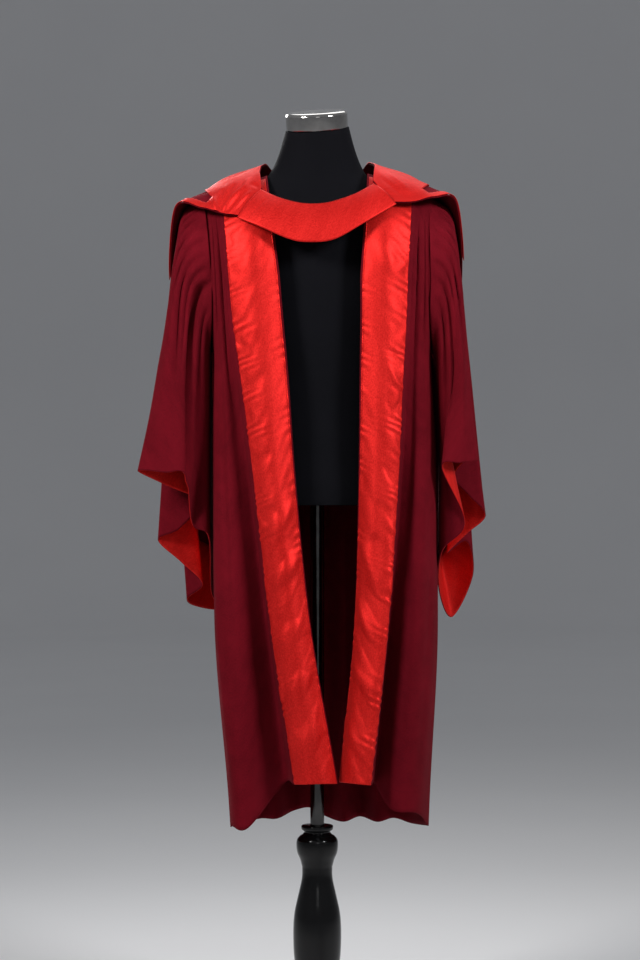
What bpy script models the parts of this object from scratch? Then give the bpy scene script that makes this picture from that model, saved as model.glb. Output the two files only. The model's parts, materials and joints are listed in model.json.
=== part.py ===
"""A doctoral graduation gown and its hood, worn by a limbless dress form on a turned stand.

Metres, Z up. The garment faces -Y, and the origin is on the floor under the pole.
"right" is the wearer's right hand, at -X, and "left" is the wearer's left, at +X.
Every cloth piece is a wall between two offsets of one smooth surface. What lies on a
panel is made from the panel's own points, moved out.
"""
import math

import bmesh
import bpy
import numpy as np
from mathutils import Matrix, Vector
from mathutils.bvhtree import BVHTree

# Driving dimensions
MM = 0.001
SEAM_GAP = 0.0003
CLOTH = 0.0015
SATIN = 0.0012
SHOULDER_HEIGHT = 1.549
SHOULDER_SLOPE = 0.33
SHOULDER_TILT = 0.02
NECK_HALF_WIDTH = 0.088
NECK_HALF_DEPTH = 0.080
NECKLINE_HALF_WIDTH = 0.130
SHOULDER_BEND_HEIGHT = 1.36
POLE_RADIUS = 0.0125
POLE_TOP = 0.9547
COLUMN_TOP = 0.379
CAP_TILT = math.radians(13)
CAP_ROLL = math.radians(3.4)

# Colour, roughness and metallic value of each material
MATERIALS = {
    "claret_cloth": ((0.10, 0.008, 0.014), 0.85, 0.0),
    "scarlet_satin": ((0.72, 0.016, 0.012), 0.38, 0.0),
    "black_jersey": ((0.012, 0.012, 0.014), 0.9, 0.0),
    "chrome": ((0.75, 0.74, 0.72), 0.15, 1.0),
    "black_lacquer": ((0.008, 0.008, 0.009), 0.2, 0.0),
}

# Plan places (x, y) in mm of the front panels' lines, from the hem up, at these heights,
# and the line's x where it meets the shoulder seam.
LEVELS = (0.42, 0.75, 1.00, 1.20, 1.30, 1.36)
LOWEST_LEVEL_DROP = 0.06
FRONT_RIGHT = {
    "edge": ((44, -142), (-12, -138), (-38, -132), (-52, -130), (-61, -128), (-66, -126), -90),
    "ridge": ((8, -168), (-45, -168), (-75, -158), (-95, -146), (-108, -140), (-112, -136), -130),
    "outer": ((-31, -140), (-80, -134), (-109, -129), (-135, -124), (-149, -121), (-154, -118), -168),
    "valley": ((-72, -104), (-104, -104), (-128, -108), (-148, -106), (-160, -108), (-163, -108), -176),
    "column": ((-122, -128), (-146, -124), (-158, -108), (-167, -96), (-172, -99), (-175, -101), -185),
    "corner": ((-150, -104), (-176, -92), (-180, -80), (-182, -58), (-182, -88), (-183, -93), -194),
    "side": ((-158, -4), (-184, -4), (-187, -4), (-187, -4), (-187, -72), (-188, -84), -203),
}
FRONT_LEFT = {
    "edge": ((34, -124), (66, -122), (73, -126), (75, -128), (76, -128), (76, -126), 90),
    "ridge": ((53, -168), (86, -160), (104, -154), (114, -146), (119, -140), (120, -136), 130),
    "outer": ((86, -176), (122, -164), (140, -138), (150, -128), (156, -122), (158, -118), 168),
    "valley": ((100, -124), (130, -118), (150, -112), (160, -108), (168, -108), (170, -106), 176),
    "column": ((130, -132), (160, -122), (176, -112), (180, -98), (184, -100), (186, -100), 186),
    "corner": ((176, -104), (200, -86), (204, -76), (200, -56), (196, -88), (194, -93), 195),
    "side": ((201, -4), (216, -4), (216, -4), (205, -4), (203, -72), (200, -84), 204),
}
# Height in mm of the hem at each line
HEM_RIGHT = {"edge": 470, "ridge": 472, "outer": 469, "valley": 464, "column": 392, "corner": 391,
             "side": 376}
HEM_LEFT = {"edge": 471, "ridge": 473, "outer": 472, "valley": 466, "column": 424, "corner": 414,
            "side": 378}
FACING_INNER = 0.08
FACING_OUTER = 2.0
# How far a line's drift between its lowest two levels carries on below them
HEM_DRIFT = 0.15

# Half of the back panel at each level: the outer corners' places in mm, and the depth at
# the middle
BACK_CORNER_RIGHT = ((-138, 104), (-160, 100), (-166, 96), (-168, 92), (-168, 98), (-168, 98))
BACK_CORNER_LEFT = ((174, 104), (188, 100), (192, 96), (186, 92), (176, 98), (172, 98))
BACK_DEPTH = (150, 146, 140, 132, 128, 124)
FLUTE_DEPTH = (17, 14, 10, 7, 5, 4)
FLUTES = 5
BACK_HEM = 0.366
BACK_HEM_LIFT = 0.014
# The back's side seams: x in mm at the shoulder, and y in mm behind the armhole by level
BACK_SEAM_RIGHT = -203
BACK_SEAM_LEFT = 204
BACK_ARMHOLE_Y = {4: 74, 5: 86}
# Outermost flutes' x in mm at the shoulder, and how soon the flutes deepen from the sides
BACK_TOP_HALF = 190
FLUTE_RISE = 2.2

# Sleeves: one row for each fold line. Armhole y and z, then x just past the shoulder,
# x half way down, and the hem's x, y and z, all in mm, x measured outwards.
SLEEVE_COLUMNS = ("head_y", "head_z", "knee_x", "mid_x", "hem_x", "hem_y", "hem_z")
SLEEVE_RIGHT = (
    (-48, 1236, 192, 193, 193, -58, 925),
    (-84, 1290, 199, 197, 195, -92, 935),
    (-86, 1350, 215, 224, 223, -74, 968),
    (-88, 1402, 240, 250, 262, -98, 1013),
    (-74, 1452, 253, 277, 317, -76, 1016),
    (-54, 1482, 256, 262, 268, -54, 990),
    (-34, 1498, 255, 236, 208, -40, 960),
    (-14, 1506, 257, 250, 248, -24, 912),
    (6, 1508, 258, 270, 286, -6, 892),
    (26, 1504, 256, 254, 246, 14, 852),
    (44, 1494, 254, 236, 208, 26, 812),
    (62, 1470, 252, 252, 236, 48, 785),
    (80, 1420, 238, 246, 224, 72, 778),
    (88, 1330, 204, 202, 196, 92, 770),
    (48, 1236, 192, 193, 193, 50, 800),
)
SLEEVE_LEFT = (
    (-48, 1236, 213, 220, 222, -58, 1000),
    (-84, 1290, 215, 220, 219, -92, 1022),
    (-88, 1350, 226, 236, 238, -74, 1024),
    (-88, 1402, 240, 252, 256, -98, 1030),
    (-74, 1452, 251, 268, 284, -78, 1034),
    (-54, 1482, 254, 258, 258, -56, 1005),
    (-34, 1498, 252, 242, 234, -41, 985),
    (-14, 1506, 254, 256, 262, -26, 962),
    (6, 1508, 256, 274, 300, -8, 936),
    (26, 1504, 254, 262, 270, 12, 903),
    (44, 1494, 252, 246, 236, 24, 868),
    (62, 1470, 252, 262, 272, 46, 888),
    (80, 1420, 240, 262, 284, 72, 825),
    (86, 1330, 220, 228, 240, 94, 775),
    (48, 1236, 213, 220, 222, 50, 800),
)
ARMHOLE_X = (0.1925, 0.206)
ARMHOLE_LEFT_SHIFT = 0.0158
# Heights in m between which the armhole's seam leans outwards
ARMHOLE_LEAN = (1.36, 1.50)
# Parts of the way down a sleeve at which it is sampled, and samples for each fold line
SLEEVE_DOWN = (0, 0.06, 0.16, 0.28, 0.40, 0.52, 0.63, 0.74, 0.83, 0.91, 0.96, 1.0)
SLEEVE_STEP = 3
LINING_START = 8
# Where the cloth turns down past the shoulder: y as a part of the armhole's, the first drop
# in m, and its shares of the reach outwards and of the whole drop
KNEE_Y = 0.95
KNEE_DROP = 0.012
KNEE_REACH_SHARE = 0.42
KNEE_DROP_SHARE = 0.04
# Shares of the drop at the two lines half way and low down
MID_SHARE = 0.48
LOW_SHARE = 0.76
# Fold lines of the seams that join a sleeve's front and back, and half the seam's gap in lines
SLEEVE_SEAMS = (0, 8)
SLEEVE_SEAM_HALF = 0.008

# Hood: one row for each section across it, from the front seam over the shoulder to the
# middle of the back, with its inner, middle and outer points (x, y, z) in mm
HOOD_RIGHT = (
    ((-97, -80, 1514), (-116, -98, 1490), (-138, -112, 1463)),
    ((-101, -46, 1541), (-140, -84, 1505), (-168, -104, 1468)),
    ((-102, -14, 1553), (-155, -54, 1524), (-203, -88, 1479)),
    ((-98, 24, 1566), (-182, 0, 1532), (-258, -48, 1484)),
    ((-86, 58, 1568), (-192, 46, 1520), (-266, 6, 1352)),
    ((-62, 92, 1522), (-168, 112, 1420), (-236, 128, 1220)),
    ((-34, 142, 1360), (-96, 168, 1250), (-130, 190, 1070)),
    ((0, 168, 1190), (0, 186, 1110), (0, 200, 1010)),
)
HOOD_LEFT = (
    ((98, -80, 1527), (116, -98, 1506), (136, -112, 1486)),
    ((101, -46, 1552), (140, -84, 1520), (170, -104, 1488)),
    ((102, -14, 1562), (155, -50, 1536), (207, -86, 1498)),
    ((98, 24, 1570), (182, 0, 1540), (252, -48, 1497)),
    ((86, 58, 1570), (190, 46, 1526), (259, 6, 1376)),
    ((62, 92, 1522), (168, 112, 1420), (236, 128, 1220)),
    ((34, 142, 1360), (96, 168, 1250), (130, 190, 1070)),
    ((0, 168, 1190), (0, 186, 1110), (0, 200, 1010)),
)
SUNK_DEPTH = 0.030
HOOD_CLEARANCE = 0.0008
CAPE_MARGIN = 0.0006
NECKBAND_MARGIN = 0.0014
PUSH_STEP = 0.0006
PUSH_ROUNDS = 80
TURNOUT_FRONT_SECTION = 2
RIM_SECTION = 4
# How much of each section's width the satin covers past the front part
TURNOUT_EDGE = (0.80, 0.80, 0.80, 0.62, 0.48, 0.37, 0.34, 0.34)
TURNOUT_ROWS = 5
# Parts of the width past the satin at which the cape is sampled, the last being its rim
CAPE_PARTS = (0.50, 0.88, 1.0)
HOOD_STEP = 3
# The point inside the shoulders that the hood is moved away from: its share of x, how far
# it lies below the place, and its greatest height
AWAY_SHARE = 0.55
AWAY_BELOW = 0.06
AWAY_TOP = 1.42
# Hood's neckband: upper and lower edge (x, y, z) in mm, from the right seam to the left
NECKBAND = (
    ((-100, -84, 1514), (-141, -118, 1460)),
    ((-66, -104, 1497), (-104, -138, 1444)),
    ((-26, -116, 1486), (-50, -150, 1420)),
    ((12, -118, 1486), (-16, -154, 1414)),
    ((42, -112, 1494), (30, -152, 1419)),
    ((70, -100, 1506), (84, -138, 1450)),
    ((100, -84, 1524), (139, -118, 1484)),
)
NECKBAND_STEP = 2
NECKBAND_ROWS = 4
NECKBAND_BULGE = (0, -0.006, 0.004)

# Dress form: height, half width and half depth of each ring, and how far it tilts forwards
# and rolls to the right, in degrees
TORSO = (
    (0.955, 0.146, 0.104, 0, 0), (0.975, 0.152, 0.106, 0, 0), (1.06, 0.142, 0.100, 0, 0),
    (1.15, 0.136, 0.098, 0, 0), (1.28, 0.158, 0.106, 0, 0), (1.38, 0.168, 0.102, 0, 0),
    (1.44, 0.174, 0.092, 0, 0), (1.478, 0.170, 0.080, 0, 0), (1.50, 0.1515, 0.073, 0, 0),
    (1.52, 0.1208, 0.067, 0, 0), (1.54, 0.0934, 0.062, 0, 0), (1.56, 0.080, 0.059, 3, 1),
    (1.59, 0.068, 0.056, 7, 2), (1.632, 0.0575, 0.0545, 13, 3.4),
)
TORSO_SIDES = 28
CAP_GAP = 0.0006
CAP_SIDES = 32
POLE_SIDES = 20
COLUMN_SIDES = 24
BASE_SIDES = 36
# Turned profiles, radius and height in mm, from the bottom up
CAP_PROFILE = ((0, 0), (55, 0), (55.6, 1.5), (55.6, 25), (54, 28), (50, 30), (0, 31.5))
COLUMN_PROFILE = ((0, 40.3), (30, 40.3), (30, 58), (26, 66), (29, 90), (37, 118), (41.5, 140),
                  (43.2, 170), (43.2, 196), (41, 222), (35, 250), (29, 276), (27.2, 290), (27.4, 308),
                  (31, 318), (36, 330), (37.6, 344), (36, 354), (27, 362), (24, 368), (28, 371),
                  (28.8, 376), (27, 379), (0, 379))
BASE_PROFILE = ((0, 0), (190, 0), (194, 6), (190, 14), (176, 18), (150, 22), (84, 31), (60, 34),
                (52, 40), (0, 40))


def clear_scene():
    """Remove what the new file holds."""
    for item in list(bpy.data.objects):
        bpy.data.objects.remove(item, do_unlink=True)


def material(name):
    """The Principled material of one of the five stuffs."""
    found = bpy.data.materials.get(name)
    if found:
        return found
    colour, roughness, metallic = MATERIALS[name]
    made = bpy.data.materials.new(name)
    made.use_nodes = True
    shader = made.node_tree.nodes["Principled BSDF"]
    shader.inputs["Base Color"].default_value = (*colour, 1.0)
    shader.inputs["Roughness"].default_value = roughness
    shader.inputs["Metallic"].default_value = metallic
    return made


def add_object(name, vertices, faces, stuff):
    """One smooth-shaded closed body, its faces turned outwards."""
    mesh = bpy.data.meshes.new(name)
    mesh.from_pydata([tuple(map(float, point)) for point in vertices], [], faces)
    shape = bmesh.new()
    shape.from_mesh(mesh)
    bmesh.ops.recalc_face_normals(shape, faces=shape.faces)
    shape.to_mesh(mesh)
    shape.free()
    mesh.shade_smooth()
    mesh.set_sharp_from_angle(angle=math.radians(40))
    mesh.materials.append(material(stuff))
    made = bpy.data.objects.new(name, mesh)
    bpy.context.scene.collection.objects.link(made)
    return made


def through(places, values, at, steady=False):
    """A smooth curve through values at rising places, read at each number in at.

    A steady curve never swings past the values that it joins.
    """
    places = np.asarray(places, float)
    values = np.asarray(values, float)
    slopes = np.gradient(values, places, axis=0)
    if steady:
        rises = np.diff(values, axis=0) / np.diff(places)[:, None]
        turns = rises[:-1] * rises[1:] <= 0
        limit = 2 * np.minimum(np.abs(rises[:-1]), np.abs(rises[1:]))
        inside = np.clip(slopes[1:-1], -limit, limit)
        slopes[1:-1] = np.where(turns, 0, inside)
    at = np.clip(np.asarray(at, float), places[0], places[-1])
    index = np.clip(np.searchsorted(places, at, side="right") - 1, 0, len(places) - 2)
    width = (places[index + 1] - places[index])
    part = (at - places[index]) / width
    part, width = part[:, None], width[:, None]
    low, high = values[index], values[index + 1]
    return ((1 + 2 * part) * (1 - part) ** 2 * low + part * (1 - part) ** 2 * width * slopes[index]
            + part ** 2 * (3 - 2 * part) * high - part ** 2 * (1 - part) * width * slopes[index + 1])


def through_loop(values, at):
    """A smooth closed curve through evenly numbered values, read at each number in at."""
    values = np.asarray(values, float)
    count = len(values)
    wrapped = np.concatenate((values[-3:], values, values[:3]))
    return through(np.arange(-3, count + 3), wrapped, at)


def grid_normals(grid, loop):
    """The unit normal at each point of a grid of rows and columns."""
    if loop:
        along = np.roll(grid, -1, axis=1) - np.roll(grid, 1, axis=1)
    else:
        along = np.gradient(grid, axis=1)
    up = np.gradient(grid, axis=0)
    normal = np.cross(along, up)
    length = np.linalg.norm(normal, axis=2, keepdims=True)
    return normal / np.maximum(length, 1e-9)


def wall(name, grid, normals, low, high, stuff, loop=False, rows=None, columns=None, keep=None):
    """A closed wall between two offsets of a grid, over the chosen rows, columns or cells."""
    rows = rows or (0, grid.shape[0] - 1)
    columns = columns or (0, grid.shape[1] - 1)
    inner = grid + normals * low
    outer = grid + normals * high
    width = grid.shape[1]
    last = width if loop else columns[1]
    first = 0 if loop else columns[0]
    cells = [(i, j) for i in range(rows[0], rows[1]) for j in range(first, last)
             if keep is None or keep(i, j)]
    corners = [((i, j), (i, (j + 1) % width), (i + 1, (j + 1) % width), (i + 1, j)) for i, j in cells]
    number = {}
    for quad in corners:
        for corner in quad:
            number.setdefault(corner, len(number))
    points = [inner[corner] for corner in number] + [outer[corner] for corner in number]
    half = len(number)
    faces = []
    edges = {}
    for quad in corners:
        ids = [number[corner] for corner in quad]
        for first_id, second_id, third_id in ((ids[0], ids[1], ids[2]), (ids[0], ids[2], ids[3])):
            faces.append((third_id, second_id, first_id))
            faces.append((first_id + half, second_id + half, third_id + half))
        for here, there in zip(ids, ids[1:] + ids[:1]):
            edges[(here, there)] = True
    for here, there in edges:
        if (there, here) not in edges:
            faces.append((here, there, there + half, here + half))
    return add_object(name, points, faces, stuff)


def shoulder_height(x):
    """Height of the gown's shoulder seam at x."""
    fall = np.maximum(np.abs(x) - NECK_HALF_WIDTH, 0) * SHOULDER_SLOPE
    return SHOULDER_HEIGHT - fall + SHOULDER_TILT * x


def body_rows():
    """The fractions at which a panel is sampled: straight rows, then rows over the shoulder."""
    return np.linspace(0, 1, 12), np.linspace(0, math.pi / 2, 6)[1:]


def hang(lines, hem, seam_y):
    """Points of the vertical lines of a panel, from the hem up and over to the shoulder seam.

    lines: plan places at LEVELS for each line, with the line's x at the seam last.
    """
    straight, bend = body_rows()
    columns = []
    for line, hem_height in zip(lines, hem):
        plan = np.array(line[:-1], float) * MM
        heights = hem_height + (SHOULDER_BEND_HEIGHT - hem_height) * straight
        lowest = plan[0] + (plan[0] - plan[1]) * HEM_DRIFT
        places = np.array((LEVELS[0] - LOWEST_LEVEL_DROP,) + LEVELS)
        flat = through(places, np.vstack((lowest, plan)), heights, steady=True)
        below = np.column_stack((flat, heights))
        x = flat[-1, 0] + (line[-1] * MM - flat[-1, 0]) * np.sin(bend)
        top = shoulder_height(line[-1] * MM)
        z = SHOULDER_BEND_HEIGHT + (top - SHOULDER_BEND_HEIGHT) * np.sin(bend)
        end = seam_y(line[-1] * MM)
        y = end + (flat[-1, 1] - end) * np.cos(bend)
        columns.append(np.vstack((below, np.column_stack((x, y, z)))))
    return np.stack(columns, axis=1)


def across(columns, samples):
    """The panel's grid: each row of line points joined by a smooth curve."""
    places = np.arange(columns.shape[1])
    return np.stack([through(places, row, samples) for row in columns])


def front_grid(table, hem):
    """The surface of a front panel, from its front edge to the side seam."""
    lines = [tuple(line) for line in table.values()]
    heights = [hem[name] * MM for name in table]
    columns = hang(lines, heights, lambda x: -SEAM_GAP / 2)
    samples = np.array((0, FACING_INNER, 0.5, 1, 1.5, FACING_OUTER, 2.5, 3, 3.5, 4, 4.5, 5, 5.5, 6))
    grid = across(columns, samples)
    grid[-1, :, 1] = np.minimum(grid[-1, :, 1], -SEAM_GAP / 2)
    return grid


def back_neck_y(x):
    """How far behind the shoulder seam the back panel's top edge lies, round the neck."""
    part = min(abs(x) / NECKLINE_HALF_WIDTH, 1)
    return SEAM_GAP / 2 + NECK_HALF_DEPTH * (1 - part * part) ** 2


def back_grid():
    """The surface of the back panel, from the right side seam to the left, with soft flutes."""
    lines = []
    count = 2 * FLUTES + 1
    side_gap = SEAM_GAP / MM
    right = [(x, y + side_gap) for x, y in FRONT_RIGHT["side"][:-1]]
    left = [(x, y + side_gap) for x, y in FRONT_LEFT["side"][:-1]]
    for level, y in BACK_ARMHOLE_Y.items():
        right[level] = (right[level][0], y)
        left[level] = (left[level][0], y)
    lines.append(tuple(right) + (BACK_SEAM_RIGHT,))
    hems = [HEM_RIGHT["side"] * MM]
    for number in range(count):
        part = number / (count - 1)
        places = []
        for level in range(len(LEVELS)):
            low = BACK_CORNER_RIGHT[level]
            high = BACK_CORNER_LEFT[level]
            x = low[0] + (high[0] - low[0]) * part
            arch = math.sin(math.pi * part)
            side_y = low[1] + (high[1] - low[1]) * part
            y = side_y + (BACK_DEPTH[level] - side_y) * arch
            wave = FLUTE_DEPTH[level] * (1 if number % 2 else -1) * min(1, FLUTE_RISE * arch)
            places.append((x, y + wave))
        top = BACK_TOP_HALF * (2 * part - 1)
        lines.append(tuple(places) + (top,))
        hems.append(BACK_HEM + BACK_HEM_LIFT * (number % 2) * math.sin(math.pi * part))
    lines.append(tuple(left) + (BACK_SEAM_LEFT,))
    hems.append(HEM_LEFT["side"] * MM)
    columns = hang(lines, hems, back_neck_y)
    samples = np.linspace(0, len(lines) - 1, 2 * (len(lines) - 1) + 1)
    grid = across(columns, samples)
    grid[-1, :, 1] = np.maximum(grid[-1, :, 1], SEAM_GAP / 2)
    return grid


def sleeve_rails(table, side):
    """A sleeve's fold lines, from the armhole down to the hem."""
    rails = []
    lean_from, lean_to = ARMHOLE_LEAN
    at = np.array(SLEEVE_DOWN) * 4
    for row in table:
        head_y, head_z, knee_x, mid_x, hem_x, hem_y, hem_z = (value * MM for value in row)
        rise = min(max((head_z - lean_from) / (lean_to - lean_from), 0), 1)
        head_x = ARMHOLE_X[0] + (ARMHOLE_X[1] - ARMHOLE_X[0]) * rise
        if side > 0:
            head_x += ARMHOLE_LEFT_SHIFT * (1 - rise)
        drop = head_z - hem_z
        knee_z = head_z - KNEE_DROP - KNEE_REACH_SHARE * abs(knee_x - head_x) - KNEE_DROP_SHARE * drop
        knee = (knee_x, head_y * KNEE_Y, knee_z)
        mid = (mid_x, 0.5 * (head_y + hem_y), head_z - MID_SHARE * drop)
        low_x = mid_x + (hem_x - mid_x) * MID_SHARE
        low = (low_x, 0.25 * head_y + 0.75 * hem_y, head_z - LOW_SHARE * drop)
        rail = np.array(((head_x, head_y, head_z), knee, mid, low, (hem_x, hem_y, hem_z)))
        rail[:, 0] *= side
        rails.append(through(range(5), rail, at))
    return np.stack(rails, axis=1)


def sleeve_grid(rails, samples, side):
    """The surface of a sleeve over some of its fold lines."""
    grid = np.stack([through_loop(row, samples) for row in rails])
    return grid if side < 0 else grid[:, ::-1]


def hood_grid():
    """The surface of the hood, from the right front seam round the back to the left one."""
    rows = np.array(HOOD_RIGHT + tuple(reversed(HOOD_LEFT[:-1])), float) * MM
    along = np.linspace(0, len(rows) - 1, HOOD_STEP * (len(rows) - 1) + 1)
    rails = [through(range(len(rows)), rows[:, column], along) for column in range(3)]
    mirrored = TURNOUT_EDGE + tuple(reversed(TURNOUT_EDGE[:-1]))
    edges = through(range(len(rows)), np.array(mirrored)[:, None], along)[:, 0]
    sections = []
    for index, edge in enumerate(edges):
        inside = np.linspace(0, edge, TURNOUT_ROWS + 1)
        outside = edge + (1 - edge) * np.array(CAPE_PARTS)
        steps = 2 * np.concatenate((inside, outside))
        sections.append(through(range(3), np.stack([rail[index] for rail in rails]), steps))
    return np.stack(sections, axis=1)


def tree_of(item):
    """The search tree of one object's faces."""
    shape = bmesh.new()
    shape.from_mesh(item.data)
    tree = BVHTree.FromBMesh(shape)
    shape.free()
    return tree


def grid_triangles(rows, columns):
    """The triangles of a grid whose points are numbered row by row."""
    triangles = []
    for row in range(rows - 1):
        for column in range(columns - 1):
            low = row * columns + column
            high = low + columns
            triangles.append((low, low + 1, high + 1))
            triangles.append((low, high + 1, high))
    return triangles


def push_clear(grid, under, margin, outwards):
    """Move the points of a grid out until it lies clear of everything under it.

    A point that is sunk into something first goes out through its skin. Then each
    triangle that still touches something has its corners moved out by small steps.
    """
    trees = [tree_of(item) for item in under]
    moved = grid.copy()
    rows, columns = grid.shape[:2]
    directions = np.empty_like(grid)
    for index in np.ndindex(rows, columns):
        direction = outwards(moved[index])
        directions[index] = direction
        for tree in trees:
            start = moved[index] + direction * SUNK_DEPTH
            place = tree.ray_cast(start, -direction, SUNK_DEPTH)[0]
            if place is not None:
                moved[index] = np.array(place)
        for tree in trees:
            gap = tree.find_nearest(moved[index])[3]
            if gap < HOOD_CLEARANCE:
                moved[index] += direction * (HOOD_CLEARANCE - gap)
    triangles = grid_triangles(rows, columns)
    for _ in range(PUSH_ROUNDS):
        lowered = (moved - directions * margin).reshape(-1, 3)
        own = BVHTree.FromPolygons([tuple(map(float, point)) for point in lowered], triangles)
        touching = {triangle for tree in trees for triangle, _ in own.overlap(tree)}
        if not touching:
            break
        corners = {corner for triangle in touching for corner in triangles[triangle]}
        for corner in corners:
            index = divmod(corner, columns)
            moved[index] += directions[index] * PUSH_STEP
    return moved


def neckband_grid():
    """The surface of the hood's neckband."""
    rows = np.array(NECKBAND, float) * MM
    along = np.linspace(0, len(rows) - 1, NECKBAND_STEP * (len(rows) - 1) + 1)
    upper = through(range(len(rows)), rows[:, 0], along)
    lower = through(range(len(rows)), rows[:, 1], along)
    sections = []
    for part in np.linspace(0, 1, NECKBAND_ROWS):
        bulge = np.array(NECKBAND_BULGE) * math.sin(math.pi * part)
        sections.append(lower + (upper - lower) * part + bulge)
    return np.stack(sections)


def turned(name, profile, sides, stuff, tilt=0.0, roll=0.0, base=0.0):
    """A body turned round a vertical axis, tilted forwards, rolled to the right and raised."""
    points = []
    faces = []
    rings = []
    for radius, height in profile:
        if radius == 0:
            rings.append([len(points)])
            points.append((0, 0, height * MM))
            continue
        rings.append(list(range(len(points), len(points) + sides)))
        for number in range(sides):
            angle = 2 * math.pi * number / sides
            points.append((radius * MM * math.cos(angle), radius * MM * math.sin(angle), height * MM))
    for low, high in zip(rings, rings[1:]):
        for number in range(sides):
            after = (number + 1) % sides
            if len(low) == 1:
                faces.append((low[0], high[after], high[number]))
            elif len(high) == 1:
                faces.append((low[number], low[after], high[0]))
            else:
                faces.append((low[number], low[after], high[after], high[number]))
    tilted = Matrix.Rotation(-roll, 3, "Y") @ Matrix.Rotation(tilt, 3, "X")
    placed = [tilted @ Vector(point) + Vector((0, 0, base)) for point in points]
    return add_object(name, placed, faces, stuff)


def make_torso():
    """The jersey-covered form: rings of ellipses, closed flat at both ends."""
    points = []
    faces = []
    for height, half_width, half_depth, tilt, roll in TORSO:
        lean = math.sin(math.radians(tilt))
        slope = math.sin(math.radians(roll))
        for number in range(TORSO_SIDES):
            angle = 2 * math.pi * number / TORSO_SIDES
            x = half_width * math.cos(angle)
            y = half_depth * math.sin(angle)
            points.append((x, y, height + y * lean + x * slope))
    for ring in range(len(TORSO) - 1):
        for number in range(TORSO_SIDES):
            after = (number + 1) % TORSO_SIDES
            low = ring * TORSO_SIDES
            high = low + TORSO_SIDES
            faces.append((low + number, low + after, high + after, high + number))
    faces.append(tuple(reversed(range(TORSO_SIDES))))
    faces.append(tuple(range(len(points) - TORSO_SIDES, len(points))))
    return add_object("form_torso", points, faces, "black_jersey")


def make_stand():
    """The dress form and what carries it."""
    torso = make_torso()
    turned("form_neck_cap", CAP_PROFILE, CAP_SIDES, "chrome", CAP_TILT, CAP_ROLL,
           TORSO[-1][0] + CAP_GAP)
    pole_foot = (COLUMN_TOP + SEAM_GAP) / MM
    pole_profile = ((0, pole_foot), (POLE_RADIUS / MM, pole_foot),
                    (POLE_RADIUS / MM, POLE_TOP / MM), (0, POLE_TOP / MM))
    turned("form_pole", pole_profile, POLE_SIDES, "chrome")
    turned("stand_column", COLUMN_PROFILE, COLUMN_SIDES, "black_lacquer")
    turned("stand_base", BASE_PROFILE, BASE_SIDES, "black_lacquer")
    return torso


def make_front(name, table, hem, flip):
    """A front panel and the satin facing that lies on it."""
    grid = front_grid(table, hem)
    if flip:
        grid = grid[:, ::-1]
    normals = -grid_normals(grid, False)
    panel = wall("gown_front_" + name, grid, normals, 0, CLOTH, "claret_cloth")
    last = grid.shape[1] - 1
    columns = (last - 5, last - 1) if flip else (1, 5)
    low = CLOTH + SEAM_GAP
    facing = wall("facing_" + name, grid, normals, low, low + SATIN, "scarlet_satin",
                  rows=(0, grid.shape[0] - 2), columns=columns)
    return panel, facing


def make_back():
    """The back panel."""
    grid = back_grid()
    normals = -grid_normals(grid, False)
    return wall("gown_back", grid, normals, 0, CLOTH, "claret_cloth")


def make_sleeve(name, table, side):
    """A sleeve's front and back, and the satin lining that shows inside its lower part."""
    rails = sleeve_rails(table, side)
    seam, spine = SLEEVE_SEAMS
    count = len(table)
    halves = (("front", seam, spine), ("back", spine, seam + count))
    made = []
    for half, start, end in halves:
        samples = np.linspace(start, end, (end - start) * SLEEVE_STEP + 1)
        samples[0] += SLEEVE_SEAM_HALF
        samples[-1] -= SLEEVE_SEAM_HALF
        grid = sleeve_grid(rails, samples, side)
        made.append(wall(f"sleeve_{name}_{half}", grid, grid_normals(grid, False), 0, CLOTH,
                         "claret_cloth"))
    samples = np.arange(0, count, 1 / SLEEVE_STEP)
    grid = sleeve_grid(rails, samples, side)
    wall("sleeve_lining_" + name, grid, grid_normals(grid, True), -SATIN - SEAM_GAP, -SEAM_GAP,
         "scarlet_satin", loop=True, rows=(LINING_START, grid.shape[0] - 1))
    return made


def make_cape(grid):
    """The claret cape, in two halves joined by a seam down the middle of the back."""
    middle = (grid.shape[1] - 1) // 2
    halves = []
    for name, columns, seam, shift in (("right", slice(0, middle + 1), -1, -SEAM_GAP / 2),
                                       ("left", slice(middle, None), 0, SEAM_GAP / 2)):
        half = grid[:, columns].copy()
        half[:, seam, 0] = shift
        normals = grid_normals(half, False)
        normals[:, seam, 0] = 0
        halves.append(wall("hood_cape_" + name, half, normals, 0, CLOTH, "claret_cloth"))
    return halves


def make_hood(under):
    """The hood's cape over the shoulders, its satin turned out, and the neckband."""

    def away(place):
        middle = np.array((AWAY_SHARE * place[0], 0.0, min(place[2] - AWAY_BELOW, AWAY_TOP)))
        direction = place - middle
        return direction / np.linalg.norm(direction)

    grid = push_clear(hood_grid(), under, CAPE_MARGIN, away)
    cape = make_cape(grid)
    columns = grid.shape[1] - 1
    rows = grid.shape[0] - 1

    def on_turnout(row, column):
        place = min(column, columns - 1 - column)
        front = place < HOOD_STEP * TURNOUT_FRONT_SECTION
        rim = place < HOOD_STEP * RIM_SECTION and row == rows - 1
        return front or rim or row < TURNOUT_ROWS

    low = CLOTH + SEAM_GAP
    turnout = wall("hood_turnout", grid, grid_normals(grid, False), low, low + SATIN, "scarlet_satin",
                   keep=on_turnout)
    band_grid = push_clear(neckband_grid(), under + cape + [turnout], NECKBAND_MARGIN,
                           lambda place: np.array((0, -1.0, 0.0)))
    wall("hood_neckband", band_grid, -grid_normals(band_grid, False), 0, SATIN, "scarlet_satin")


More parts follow.
